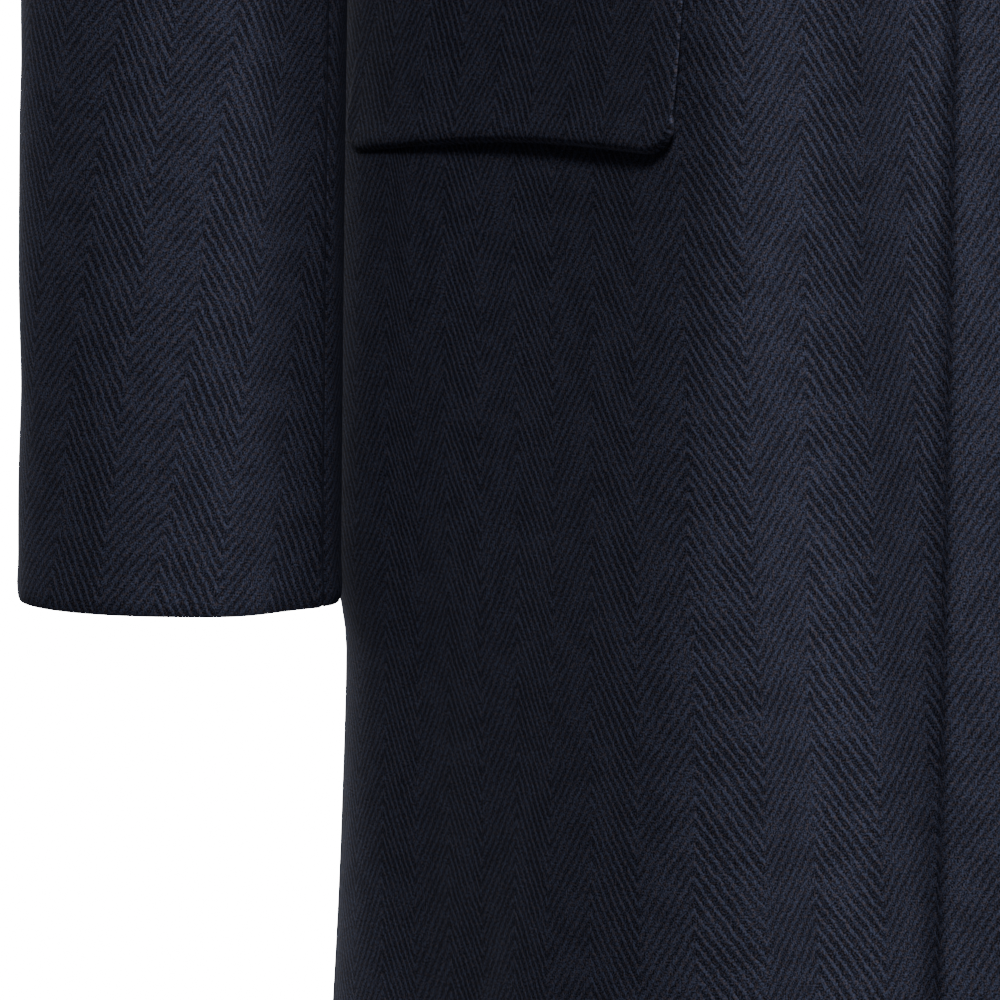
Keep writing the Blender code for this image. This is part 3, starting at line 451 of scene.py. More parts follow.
def body_point(turn, rise):
    """Point of the coat's outer surface for the wearer's left half (x positive).

    rise is metres from the chest when negative, and the share of the arc over the shoulder
    when positive.
    """
    turn, rise = np.broadcast_arrays(np.asarray(turn, float), np.asarray(rise, float))
    height = CHEST_HEIGHT + np.minimum(rise, 0.0)
    x, y = section_point(turn, height)
    arc = np.clip(rise, 0.0, 1.0) * math.pi / 2
    half = smooth_column(BODY_LEVELS, "height", CHEST_HEIGHT, "half_width")
    chest_share = np.clip(np.abs(x) / half, 0.0, 1.0)
    spread = smooth_column(SHOULDER_SPREAD, "share", chest_share, "across")
    lift = np.sin(arc)
    wide = np.abs(x) + (spread - np.abs(x)) * lift ** 2.2 * (rise > 0)
    front_limit, back_limit = BLUNT_DEPTHS
    blunt = np.where(np.abs(turn) < SIDE_SEAM_TURN, np.minimum(y, front_limit),
                     np.maximum(y, back_limit))
    blunt = np.where(chest_share > BLUNT_SHARE, blunt, y)
    y = y + (blunt - y) * ease(lift) * (rise > 0)
    deep = np.where(rise > 0, SHOULDER_LINE_Y + (y - SHOULDER_LINE_Y) * np.cos(arc), y)
    nape = NAPE_RAISE * np.exp(-(wide / NAPE_SPREAD) ** 2) * np.sqrt(np.maximum(np.cos(arc), 0))
    top = shoulder_line(wide) + nape * (np.abs(turn) > SIDE_SEAM_TURN)
    tall = np.where(rise > 0, CHEST_HEIGHT + (top - CHEST_HEIGHT) * lift, height)
    return np.stack([np.sign(x) * wide, deep, tall], -1)


def body_normal(turn, rise):
    """Outward normal of the coat's surface, from small differences."""
    step = 0.004
    rise_low = np.where(np.asarray(rise) > 0, np.minimum(rise, 1.0) - step, rise - step)
    around = body_point(np.add(turn, step), rise) - body_point(np.subtract(turn, step), rise)
    upward = body_point(turn, np.minimum(np.add(rise, step), 1.0)) - body_point(turn, rise_low)
    return unit(np.cross(around, upward))


def fold_depth(folds, point):
    """How far the table's long folds move a point of the surface out."""
    moved = np.zeros(point.shape[:-1])
    for fold in folds:
        down = np.clip((fold.top - point[..., 2]) / (fold.top - fold.bottom), 0.0, 1.0)
        centre = fold.across_top + (fold.across_bottom - fold.across_top) * down
        depth = fold.depth_top + (fold.depth_bottom - fold.depth_top) * down
        offset = np.abs(point[..., 0]) - centre
        width = np.where(offset < 0, fold.inner, fold.outer)
        fade = ease((fold.top - point[..., 2]) / 0.14)
        moved += depth * fade * np.exp(-0.5 * (offset / width) ** 2)
    return moved


def crease_depth(creases, across, height):
    """How far short soft creases move the cloth out: ridges above 0, troughs below."""
    moved = np.zeros(across.shape)
    for crease in creases:
        over = crease.end_from_centre - crease.from_centre
        down = crease.end - crease.top
        length = math.hypot(over, down)
        t = ((across - crease.from_centre) * over + (height - crease.top) * down) / length ** 2
        off = ((across - crease.from_centre) * down - (height - crease.top) * over) / length
        off = off + 0.30 * crease.width * np.sin(7 * t + 60 * crease.from_centre)
        width = crease.width * (0.80 + 0.35 * t)
        taper = ease((t + 0.15) / 0.45) * ease((1.10 - t) / 0.50)
        moved += crease.depth * taper * np.exp(-0.5 * (off / width) ** 2)
    return moved


def turn_across(across, rise):
    """Place on the front half of the section that lies a distance from the centre."""
    turns = np.linspace(0.0, 4.9, 240)
    across, rise = np.broadcast_arrays(np.asarray(across, float), np.asarray(rise, float))
    lines = body_point(turns, rise.reshape(-1, 1))[..., 0]
    found = [math.copysign(np.interp(abs(x), line, turns), x)
             for x, line in zip(across.ravel(), lines)]
    return np.array(found).reshape(across.shape)


def coons_patch(bottom, top, left, right, across, up):
    """Fill a four-sided patch between curves given at the shares across and up."""
    f = across[None, :, None]
    r = up[:, None, None]
    corners = ((1 - f) * (1 - r) * bottom[0] + f * (1 - r) * bottom[-1]
               + (1 - f) * r * top[0] + f * r * top[-1])
    return ((1 - r) * bottom[None] + r * top[None] + (1 - f) * left[:, None]
            + f * right[:, None] - corners)


def chest_turn(share, back):
    """Place on the chest section with this share of the half width, front or back."""
    turns = np.linspace(0.0, 5.2, 300) if not back else np.linspace(BACK_TURN, 5.2, 300)
    across = section_point(turns, CHEST_HEIGHT)[0]
    keep = np.maximum.accumulate(across)
    return np.interp(share * keep.max(), keep, turns)


def armhole_place(run, back):
    """Turn and rise along the armhole: run 0 is the underarm, 1 the shoulder point."""
    run = np.asarray(run, float)
    rise = 1 - np.cos(math.pi / 2 * run)
    cut = ARMHOLE_BACK_CUT if back else ARMHOLE_FRONT_CUT
    hollow = np.maximum(np.sin(math.pi * rise), 0.0)
    scoop = cut * np.where(rise > 0.5, hollow ** 1.6, hollow ** 0.7)
    turn = chest_turn(1 - np.maximum(scoop, 0.0005), back)
    return np.stack([turn + (SIDE_SEAM_TURN - turn) * ease(1 - run / 0.16), rise], -1)


def roll_place(rise):
    """Turn and rise along the lapel's roll line: 0 is the break, 1 the neck point."""
    rise = np.asarray(rise, float)
    across = -FRONT_LAP + (FRONT_LAP + NECK_HALF_WIDTH) * np.sin(rise * math.pi / 2)
    return np.stack([turn_across(across, rise), rise], -1)


def front_lap(height):
    """How far the front edge runs past the centre at a height."""
    return FRONT_LAP + FRONT_SWING * (SWING_HEIGHT - height) * ease((-0.30 - height) / 0.15)


def lap_swell(point, side):
    """The bulge that both fronts share where they lap, as a ridge leaning to the edge."""
    height = point[..., 2]
    down = (SWELL_TOP[1] - height) / (SWELL_TOP[1] - SWELL_BOTTOM[1])
    off = point[..., 0] * side - SWELL_TOP[0] - (SWELL_BOTTOM[0] - SWELL_TOP[0]) * down
    width = np.where(off < 0, *SWELL_WIDTHS)
    return SWELL * between(height, SWELL_FADES) * np.exp(-0.5 * (off / width) ** 2)


def front_depth(point, side):
    """How far one front's outer face lies over the shared surface."""
    folds = LEFT_FRONT_FOLDS if side > 0 else RIGHT_FRONT_FOLDS
    depth = fold_depth(folds, point) * ease((point[..., 0] + 0.010) / 0.030)
    depth = depth + lap_swell(point, side)
    if side > 0:
        near_break = ease((point[..., 2] - BREAK_FADE[0]) / BREAK_FADE[1])
        parted = ease((point[..., 2] - PARTING_FADE[0]) / PARTING_FADE[1])
        raised = FRONT_STAND * (1 + STAND_AT_BREAK * near_break) * (1 - parted)
        depth = depth + raised * ease((STAND_FADE[0] - point[..., 0]) / STAND_FADE[1])
    return depth


def front_surface(places, side, over=0.0):
    """Points on one front, moved out by over, in the half where x is positive."""
    point = body_point(places[..., 0], places[..., 1])
    depth = front_depth(point, side) + over
    return point + body_normal(places[..., 0], places[..., 1]) * depth[..., None]


def back_turn_across(across, rise):
    """Place on the back half of the section that lies a distance from the centre."""
    turns = np.linspace(BACK_TURN, 5.25, 240)
    line = np.maximum.accumulate(body_point(turns, rise)[:, 0])
    return float(np.interp(across, line, turns))


def nape_rise(across):
    """Rise of the back neckline at a distance from the centre."""
    reach = math.sqrt(max(0.0, 1 - (across / NECK_HALF_WIDTH) ** 2))
    wanted = SHOULDER_LINE_Y + (NAPE_DEPTH - SHOULDER_LINE_Y) * reach
    rises = np.linspace(0.2, 1.0, 160)[::8]
    depths = np.array([body_point(back_turn_across(across, r), r)[1] for r in rises])
    return float(np.interp(-wanted, -depths, rises))


def find_place(wanted, axes, turn, rise):
    """Turn and rise of the points whose two given coordinates are wanted, by Newton steps."""
    wanted = np.asarray(wanted, float)
    turn = np.broadcast_to(np.asarray(turn, float), wanted.shape[:-1]).copy()
    rise = np.broadcast_to(np.asarray(rise, float), wanted.shape[:-1]).copy()
    step = 1e-4
    for _ in range(30):
        here = body_point(turn, rise)[..., axes]
        by_turn = (body_point(turn + step, rise)[..., axes] - here) / step
        by_rise = (here - body_point(turn, rise - step)[..., axes]) / step
        miss = wanted - here
        area = by_turn[..., 0] * by_rise[..., 1] - by_turn[..., 1] * by_rise[..., 0]
        area = np.where(np.abs(area) < 1e-7, 1e-7, area)
        turn_step = (miss[..., 0] * by_rise[..., 1] - miss[..., 1] * by_rise[..., 0]) / area
        rise_step = (by_turn[..., 0] * miss[..., 1] - by_turn[..., 1] * miss[..., 0]) / area
        turn += np.clip(turn_step, -0.4, 0.4)
        rise = np.clip(rise + np.clip(rise_step, -0.08, 0.08), -0.77, 1.0)
    return np.stack([turn, rise], -1)


# ---------------------------------------------------------------- cloth sheets
def sheet_normal(grid, outward):
    """Unit normals of a grid of points, on the side that outward points to at its middle."""
    normal = unit(np.cross(np.gradient(grid, axis=0), np.gradient(grid, axis=1)))
    middle = tuple(n // 2 for n in grid.shape[:2])
    return normal * np.sign(np.dot(normal[middle], outward(grid[middle])))


def run_along(grid, axis):
    """Metres along the cloth from the first row or column."""
    steps = np.linalg.norm(np.diff(grid, axis=axis), axis=-1)
    first = np.zeros_like(np.take(steps, [0], axis=axis))
    return np.concatenate([first, np.cumsum(steps, axis=axis)], axis=axis)


def pressed(grid, outward, sewn="", turned=""):
    """Sink the sewn edges into their seams and round the turned edges.

    Edges are named by the grid: b and t its first and last row, l and r its first and last
    column.
    """
    cloth = bpy.context.scene.overcoat_cloth
    up, across = run_along(grid, 0), run_along(grid, 1)
    away = {"b": up, "t": up[-1:] - up, "l": across, "r": across[:, -1:] - across}
    depth = np.zeros(grid.shape[:2])
    for edge in sewn:
        depth -= cloth.seam_depth * np.exp(-(away[edge] / cloth.seam_reach) ** 2)
    for edge in turned:
        ridge, inside, width = TURNED_RIDGE
        drop, drop_width = TURNED_DROP
        depth += ridge * np.exp(-((away[edge] - inside) / width) ** 2)
        depth -= drop * np.exp(-(away[edge] / drop_width) ** 2)
    return grid + sheet_normal(grid, outward) * depth[..., None]


def grain_map(grid, outward, level_row, flat_way=0.0):
    """Metres across and along the grain, with across to the right as seen from outside."""
    normal = sheet_normal(grid, outward)
    right = np.cross([0.0, 0.0, 1.0], normal)
    right = right + ease((np.abs(normal[..., 2:]) - 0.70) / 0.25) * np.array([flat_way, 0, 0])
    right = unit(right - normal * np.sum(right * normal, -1, keepdims=True))
    along = np.cross(normal, right)
    step = np.diff(grid, axis=1)
    u_step = np.sum(step * (right[:, 1:] + right[:, :-1]) / 2, -1)
    u = np.concatenate([np.zeros((len(grid), 1)), np.cumsum(u_step, axis=1)], axis=1)
    rise = np.diff(grid, axis=0)
    v_step = np.sum(rise * (along[1:] + along[:-1]) / 2, -1)
    v = np.concatenate([np.zeros((1, grid.shape[1])), np.cumsum(v_step, axis=0)])
    v = v - v[level_row] + grid[level_row][..., 2]
    drift = np.sum(rise * (right[1:] + right[:-1]) / 2, -1)
    sway = np.concatenate([np.zeros((1, grid.shape[1])), np.cumsum(drift, axis=0)])
    return u, v, sway - sway[level_row]


def leaned(u, v, angle):
    """Grain coordinates turned so that the weave leans to the right by an angle."""
    return (u * math.cos(angle) - v * math.sin(angle), v * math.cos(angle) + u * math.sin(angle))


def cloth_sheet(name, grid, u, v, outward):
    """A named piece of cloth from a grid of points, with its wall inside the grid."""
    cloth = bpy.context.scene.overcoat_cloth
    count, across = grid.shape[:2]
    index = np.arange(count * across).reshape(count, across)
    quads = np.stack([index[:-1, :-1], index[:-1, 1:], index[1:, 1:], index[1:, :-1]], -1)
    quads = quads.reshape(-1, 4)
    middle = tuple(n // 2 for n in grid.shape[:2])
    facing = np.cross(np.gradient(grid, axis=1)[middle], np.gradient(grid, axis=0)[middle])
    if np.dot(facing, outward(grid[middle])) < 0:
        quads = quads[:, ::-1]
    mesh = bpy.data.meshes.new(name)
    mesh.from_pydata(grid.reshape(-1, 3).tolist(), [], quads.tolist())
    laid = mesh.uv_layers.new(name="cloth")
    flat = np.stack([u, v], -1).reshape(-1, 2)[quads.ravel()]
    laid.data.foreach_set("uv", flat.astype(np.float32).ravel())
    mesh.polygons.foreach_set("use_smooth", np.ones(len(quads), bool))
    mesh.materials.append(bpy.data.materials["herringbone_wool_milled"])
    mesh.materials.append(bpy.data.materials["wool_underside_milled"])
    piece = bpy.data.objects.new(name, mesh)
    bpy.context.scene.collection.objects.link(piece)
    solid = piece.modifiers.new("Wall", "SOLIDIFY")
    solid.thickness = cloth.wall
    solid.offset = -1.0
    solid.use_quality_normals = True
    solid.material_offset = 1
    solid.material_offset_rim = 0
    rounded = piece.modifiers.new("Rounded edges", "BEVEL")
    rounded.width = EDGE_BEVEL
    rounded.segments = 2
    rounded.limit_method = "ANGLE"
    rounded.angle_limit = math.radians(50)
    rounded.harden_normals = True
    return piece


def mirrored(points, side):
    """side 1 is the wearer's left, -1 the right."""
    points = np.array(points, float)
    points[..., 0] *= side
    return points


def declared(piece, grid, rests_on, *nodes):
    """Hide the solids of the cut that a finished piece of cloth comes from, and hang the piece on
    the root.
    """
    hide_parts(*nodes)
    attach(piece, "root")


# ---------------------------------------------------------------- fronts and backs
EDGE_STRIPS = (0.003, 0.0065, 0.011, 0.017, 0.025)
ARMHOLE_SHARES = shares(56, (0.006, 0.013, 0.022))


def rises_from_hem():
    """Rises of the rows from the hem up to the chest."""
    heights = np.concatenate([HEM_STEPS, np.linspace(0.010, HEM_TO_CHEST, 106)[:-1]])
    return heights + HEM_HEIGHT - CHEST_HEIGHT


def front_places():
    """Turn and rise of a front's points, hem first, from the front edge to the side seam."""
    across = shares(100, EDGE_STRIPS)
    heights = rises_from_hem()
    inner = turn_across(-front_lap(CHEST_HEIGHT + heights), heights)[:, None]
    lower = np.stack([inner + (SIDE_SEAM_TURN + SEAM_LAP - inner) * across,
                      np.broadcast_to(heights[:, None], (len(heights), len(across)))], -1)
    right = armhole_place(ARMHOLE_SHARES, back=False)
    right[:, 0] += SEAM_LAP
    left = roll_place(right[:, 1])
    bottom = np.stack([left[0, 0] + (SIDE_SEAM_TURN + SEAM_LAP - left[0, 0]) * across,
                       0 * across], -1)
    top = np.stack([left[-1, 0] + (right[-1, 0] - left[-1, 0]) * across, 1 + 0 * across], -1)
    right[0] = bottom[-1]
    return np.concatenate([lower, coons_patch(bottom, top, left, right, across, right[:, 1])])


def forward(at):
    return np.array([0.0, -1.0, 0.0])


def backward(at):
    return np.array([0.0, 1.0, 0.0])


def side_fullness(places):
    """Cloth pressed outwards behind the forearm, which closes the gap seen beside the sleeve."""
    height = CHEST_HEIGHT + np.minimum(places[..., 1], 0.0)
    middle, spread = SIDE_FULL_PLACE
    return (SIDE_FULLNESS * np.exp(-((places[..., 0] - middle) / spread) ** 2)
            * between(height, SIDE_FULL_FADES))


def front_grid(side):
    """The outer face of one front, in the half where x is positive."""
    places = front_places()
    point = body_point(places[..., 0], places[..., 1])
    grid = front_surface(places, side)
    run = run_along(grid, 1)
    centre = np.array([np.interp(0.0, row, line) for row, line in zip(grid[..., 0], run)])
    from_centre = run - centre[:, None]
    own = LEFT_FRONT_CREASES if side > 0 else RIGHT_FRONT_CREASES
    moved = crease_depth(FRONT_CREASES + own, from_centre, point[..., 2])
    moved *= off_the_edges(run)
    moved += side_fullness(places)
    if side > 0:
        start, reach = EDGE_ROLL_FADE
        moved -= (EDGE_ROLL * ease((start - point[..., 2]) / reach)
                  * np.exp(-(run / EDGE_ROLL_WIDTH) ** 2))
    grid = grid + body_normal(places[..., 0], places[..., 1]) * moved[..., None]
    grid[-1, :, 1] = SHOULDER_LINE_Y + SEAM_UNDERLAP
    return pressed(grid, forward, sewn="rt", turned="bl")


def drawn_to_bands(across, height, u, band):
    """Shift the right front's grain so that its peaks and valleys run on their stated lines."""
    table = np.array([row.distances for row in RIGHT_FRONT_BANDS])
    levels = [row.height for row in RIGHT_FRONT_BANDS]
    wanted = band * np.arange(CENTRE_BAND, CENTRE_BAND - table.shape[1], -1)
    start, reach = BAND_FADE
    drawn = np.array(u)
    for i, z in enumerate(height):
        lines = np.array([np.interp(z, levels, table[:, k]) for k in range(table.shape[1])])
        shift = wanted - np.interp(lines, across[i], u[i])
        drawn[i] += np.interp(across[i], lines, shift) * (1 - ease((z - start) / reach))
    return drawn


class OVERCOAT_OT_fronts(bpy.types.Operator):
    """Make the two fronts, the left lapping over the right"""
    bl_idname = "overcoat.fronts"
    bl_label = "Fronts"

    def execute(self, context):
        cloth = context.scene.overcoat_cloth
        for name, side in (("left", 1), ("right", -1)):
            grid = mirrored(front_grid(side), side)
            chest = int(np.argmin(np.abs(grid[:, 0, 2] - CHEST_HEIGHT)))
            u, v, sway = grain_map(grid, forward, chest, flat_way=1.0)
            if side < 0:
                line = [np.interp(FRONT_PEAK_LINE, -xs, us) for xs, us in zip(grid[..., 0], u)]
                u = drawn_to_bands(-grid[..., 0], grid[:, 0, 2], u - np.array(line)[:, None],
                                   cloth.repeat / 2)
            else:
                above = np.arange(len(grid)) > chest
                u = u - EDGE_VALLEY + cloth.repeat / 2 + (sway[:, 0] * above)[:, None]
            piece = cloth_sheet("front_" + name + "_cloth", grid, u, v, forward)
            declared(piece, grid, ["front_right"] if side > 0 else [], "front_" + name)
        return {"FINISHED"}


def back_places():
    """Turn and rise of a back's points, hem first, from centre back to the side seam."""
    across = shares(72, EDGE_STRIPS)
    neck_share = 0.36
    heights = rises_from_hem()
    seam = SIDE_SEAM_TURN - SEAM_LAP
    lower = np.stack([np.broadcast_to(BACK_TURN + (seam - BACK_TURN) * across,
                                      (len(heights), len(across))),
                      np.broadcast_to(heights[:, None], (len(heights), len(across)))], -1)
    right = armhole_place(ARMHOLE_SHARES, back=True)
    right[:, 0] -= SEAM_LAP
    left = np.stack([np.full(len(right), BACK_TURN), nape_rise(0.0) * right[:, 1]], -1)
    bottom = np.stack([BACK_TURN + (seam - BACK_TURN) * across, 0 * across], -1)
    top = []
    for f in across:
        if f < neck_share:
            x = NECK_HALF_WIDTH * math.sin(f / neck_share * math.pi / 2)
            rise = nape_rise(x)
        else:
            reach = (f - neck_share) / (1 - neck_share)
            x = NECK_HALF_WIDTH + (SHOULDER_HALF_WIDTH - NECK_HALF_WIDTH) * reach
            rise = 1.0
        top.append((back_turn_across(x, rise), rise))
    top = np.array(top)
    top[-1] = right[-1]
    right[0] = bottom[-1]
    return np.concatenate([lower, coons_patch(bottom, top, left, right, across, right[:, 1])])


class OVERCOAT_OT_backs(bpy.types.Operator):
    """Make the two halves of the back, sewn down the centre"""
    bl_idname = "overcoat.backs"
    bl_label = "Backs"

    def execute(self, context):
        places = back_places()
        point = body_point(places[..., 0], places[..., 1])
        normal = body_normal(np.minimum(places[..., 0], BACK_TURN - 0.01), places[..., 1])
        for name, side in (("left", 1), ("right", -1)):
            run = run_along(point, 1)
            moved = crease_depth(BACK_CREASES, run + 0.004 * side, point[..., 2])
            moved *= off_the_edges(run)
            moved += fold_depth(BACK_FOLDS, point) + side_fullness(places)
            grid = point + normal * moved[..., None]
            grid[-1, :, 1] = SHOULDER_LINE_Y - SEAM_UNDERLAP
            grid[:, 0, 0] = -SEAM_UNDERLAP
            grid = mirrored(pressed(grid, backward, sewn="lrt", turned="b"), side)
            chest = int(np.argmin(np.abs(grid[:, 0, 2] - CHEST_HEIGHT)))
            u, v, _ = grain_map(grid, backward, chest, flat_way=-1.0)
            piece = cloth_sheet("back_" + name + "_cloth", grid, u, v, backward)
            declared(piece, grid, [], "back_" + name)
        return {"FINISHED"}


# ---------------------------------------------------------------- lapels
def gorge_angle():
    """Angle on the roll line's arc at which the gorge starts."""
    return math.asin((GORGE_START[0] + FRONT_LAP) / (NECK_HALF_WIDTH + FRONT_LAP))


def lapel_grid(side):
    """The lapel from inside the coat, over its roll and out to its edge."""
    up = shares(64, (0.004, 0.010))
    across = shares(44, (0.008, 0.020))
    rises = np.arcsin(np.sin(gorge_angle()) * up) * 2 / math.pi
    roll = roll_place(rises)
    inner = body_point(roll[:, 0], roll[:, 1])[:, [0, 2]]
    r = up[:, None]
    low = inner[0] + np.array([0.0012, 0.0])
    outer = ((1 - r) ** 2 * low + 2 * r * (1 - r) * np.array(LAPEL_BELLY)
             + r * r * np.array(LAPEL_TIP))
    seen = inner[:, None] + (outer - inner)[:, None] * across[None, :, None]
    places = find_place(seen, [0, 2], 1.5 + 0 * seen[..., 0], 0.5 + 0 * seen[..., 0])
    share = across[None]
    stand = LAPEL_ROLL * np.sin(math.pi * np.clip(share / 0.8, 0, 1)) * ease((r - 0.10) / 0.4)
    stand = stand + 0.0012 * (1 - share) ** 3 * ease(r / 0.15)
    base = WALL + LAYER_GAP
    face = front_surface(places, side, base + stand)
    edge = front_surface(roll, side)
    normal = body_normal(roll[:, 0], roll[:, 1])
    inward = unit(face[:, 0] - face[:, 3])
    inward = unit(inward - normal * np.sum(inward * normal, -1, keepdims=True))
    height = np.sum((face[:, 0] - edge) * normal, -1)
    radius = (height + 0.0020) / 2
    turned = []
    for angle in np.radians(np.linspace(-90, 75, 9)):
        turned.append(edge + normal * (height - radius + radius * math.sin(angle))[:, None]
                      + inward * (radius * math.cos(angle))[:, None])
    return np.concatenate([np.stack(turned, 1), face], 1)


class OVERCOAT_OT_lapels(bpy.types.Operator):
    """Make the notch lapels, rolled over from the fronts"""
    bl_idname = "overcoat.lapels"
    bl_label = "Lapels"

    def execute(self, context):
        for name, side in (("left", 1), ("right", -1)):
            grid = mirrored(pressed(lapel_grid(side), forward, turned="rt"), side)
            u, v = leaned(grid[..., 0], grid[..., 2], side * LAPEL_GRAIN)
            tip = leaned(side * LAPEL_TIP[0], LAPEL_TIP[1], side * LAPEL_GRAIN)
            piece = cloth_sheet("lapel_" + name + "_cloth", grid, u - tip[0], v, forward)
            declared(piece, grid, ["front_" + name], "lapel_" + name)
        return {"FINISHED"}


# ---------------------------------------------------------------- collar
def collar_seam(turn):
    """The neck seam: along the back neckline, then down the front's roll line to the gorge."""
    if turn < COLLAR_SHOULDER:
        across = NECK_HALF_WIDTH * math.sin(turn / COLLAR_SHOULDER * math.pi / 2)
        rise = nape_rise(across)
        place = (back_turn_across(across, rise), rise)
    else:
        down = (turn - COLLAR_SHOULDER) / (1 - COLLAR_SHOULDER)
        place = roll_place(1.0 + (gorge_angle() * 2 / math.pi - 1.0) * down)
    return body_point(*place) + body_normal(*place) * COLLAR_REST


def collar_notch():
    """Where the collar's front end meets the lapel's top edge, just clear of it."""
    seen = np.array(GORGE_START) + (np.array(LAPEL_TIP) - np.array(GORGE_START)) * NOTCH_SHARE
    place = find_place(seen + np.array([0.0, 0.0016]), [0, 2], 3.0, 0.6)
    return body_point(*place) + body_normal(*place) * (WALL + COLLAR_REST)


def collar_section(turn, notch):
    """Points of the collar across its width, from the neck seam over the fold to its edge."""
    read = {name: float(smooth_column(COLLAR_STATIONS, "turn", turn, name))
            for name in Station._fields[1:]}
    seam = collar_seam(turn)
    guess = (3.0, 0.85) if read["edge_y"] < SHOULDER_LINE_Y else (7.5, 0.85)
    edge_place = find_place([read["edge_x"], read["edge_y"]], [0, 1], *guess)
    rest = WALL + COLLAR_REST
    edge = body_point(*edge_place) + body_normal(*edge_place) * rest
    crease = np.array([read["crease_x"], read["crease_y"], read["crease_height"]])
    outwards = edge - crease
    outwards[2] = 0.0
    outwards /= np.linalg.norm(outwards)
    points = [seam + (crease - outwards * COLLAR_ROLL - seam) * f for f in (0.0, 0.5, 1.0)]
    for angle in (45, 90, 135):
        a = math.radians(angle)
        points.append(crease - outwards * COLLAR_ROLL * math.cos(a)
                      + np.array([0, 0, COLLAR_ROLL * math.sin(a)]))
    top = crease + outwards * COLLAR_ROLL
    pull = ease((turn - 0.80) / 0.20)
    for f in np.linspace(0.0, 1.0, 7):
        straight = top + (edge - top) * f
        bend = min(f / NOTCH_SHARE_OF_FALL, (1 - f) / (1 - NOTCH_SHARE_OF_FALL))
        corner = top + (edge - top) * NOTCH_SHARE_OF_FALL
        bulge = COLLAR_BULGE * math.sin(math.pi * f) * (1 - pull)
        point = straight + (notch - corner) * bend * pull + np.array([0, 0, bulge])
        if turn > COLLAR_SHOULDER and f > 0.3:
            below = find_place(point[:2], [0, 1], 3.0, 0.8)
            floor = body_point(*below) + body_normal(*below) * rest
            point[2] = max(point[2], floor[2] + 2.0 * COLLAR_REST)
        points.append(point)
    return points


def away_from_neck(at):
    return np.array([at[0], at[1], 0.02])


class OVERCOAT_OT_collar(bpy.types.Operator):
    """Make the collar, its stand folded over into its fall"""
    bl_idname = "overcoat.collar"
    bl_label = "Collar"

    def execute(self, context):
        notch = collar_notch()
        turns = np.append(np.linspace(0.0, 0.92, 13), [0.96, 1.0])
        half = np.array([collar_section(turn, notch) for turn in turns])
        rows = np.concatenate([mirrored(half, -1)[:0:-1], half])
        grid = refined(rows, 197)
        stand = refined(grid[:, :6].swapaxes(0, 1), 26)[:-1]
        fall = refined(grid[:, 5:].swapaxes(0, 1), 40)
        grid = np.concatenate([stand, fall]).swapaxes(0, 1)
        grid = pressed(grid, away_from_neck, sewn="l", turned="rbt")
        middle = len(grid) // 2
        around = run_along(grid, 0)
        u = around[:, 30] - around[middle, 30]
        over = run_along(grid, 1)
        u = np.broadcast_to(u[:, None], over.shape)
        piece = cloth_sheet("collar_cloth", grid, u, -over, away_from_neck)
        declared(piece, grid, ["back_left", "back_right"], "collar")
        return {"FINISHED"}


# ---------------------------------------------------------------- sleeves
HEAD_ROWS = 39                # rows of points in a sleeve's head, above the biceps


def armhole_point(angle):
    """The armhole's edge beside each place round the sleeve, in degrees from its front."""
    angle = np.where(angle > 270, angle - 360, angle)
    front = armhole_place(np.clip((angle + 90) / 180, 0, 1), back=False)
    back = armhole_place(np.clip((270 - angle) / 180, 0, 1), back=True)
    return np.where((angle <= 90)[..., None], body_point(front[..., 0], front[..., 1]),
                    body_point(back[..., 0], back[..., 1]))


def sleeve_ring(angle, height):
    across, along, wide, deep = (smooth_column(SLEEVE_RINGS, "height", height, name)
                                 for name in ("across", "along", "half_width", "half_depth"))
    turn = np.radians(angle)
    return np.stack([across + wide * np.sin(turn), along - deep * np.cos(turn),
                     np.broadcast_to(height, turn.shape)], -1)


def sleeve_cap(angle, run):
    """The sleeve head: a smooth sweep from the armhole to the biceps ring."""
    turn = np.radians(angle)
    high = ((1 + np.sin(turn)) / 2)[..., None]
    zero = np.zeros_like(turn)
    leave = (high ** 0.7 * np.stack([0.13 + zero, -0.035 * np.cos(turn), 0.030 + zero], -1)
             + (1 - high) * np.array([0.006, 0.0, -0.030]))
    arrive = np.array([0.0, 0.0, -0.12]) * (0.4 + 0.6 * high)
    start = armhole_point(angle) + unit(leave) * 0.0006
    start = start + (1 - high) ** 6 * np.array([0.0016, 0.0, 0.0])
    end = sleeve_ring(angle, SLEEVE_RINGS[-1].height)
    w = run
    return ((2 * w ** 3 - 3 * w ** 2 + 1) * start + (w ** 3 - 2 * w ** 2 + w) * leave
            + (3 * w ** 2 - 2 * w ** 3) * end + (w ** 3 - w ** 2) * arrive)


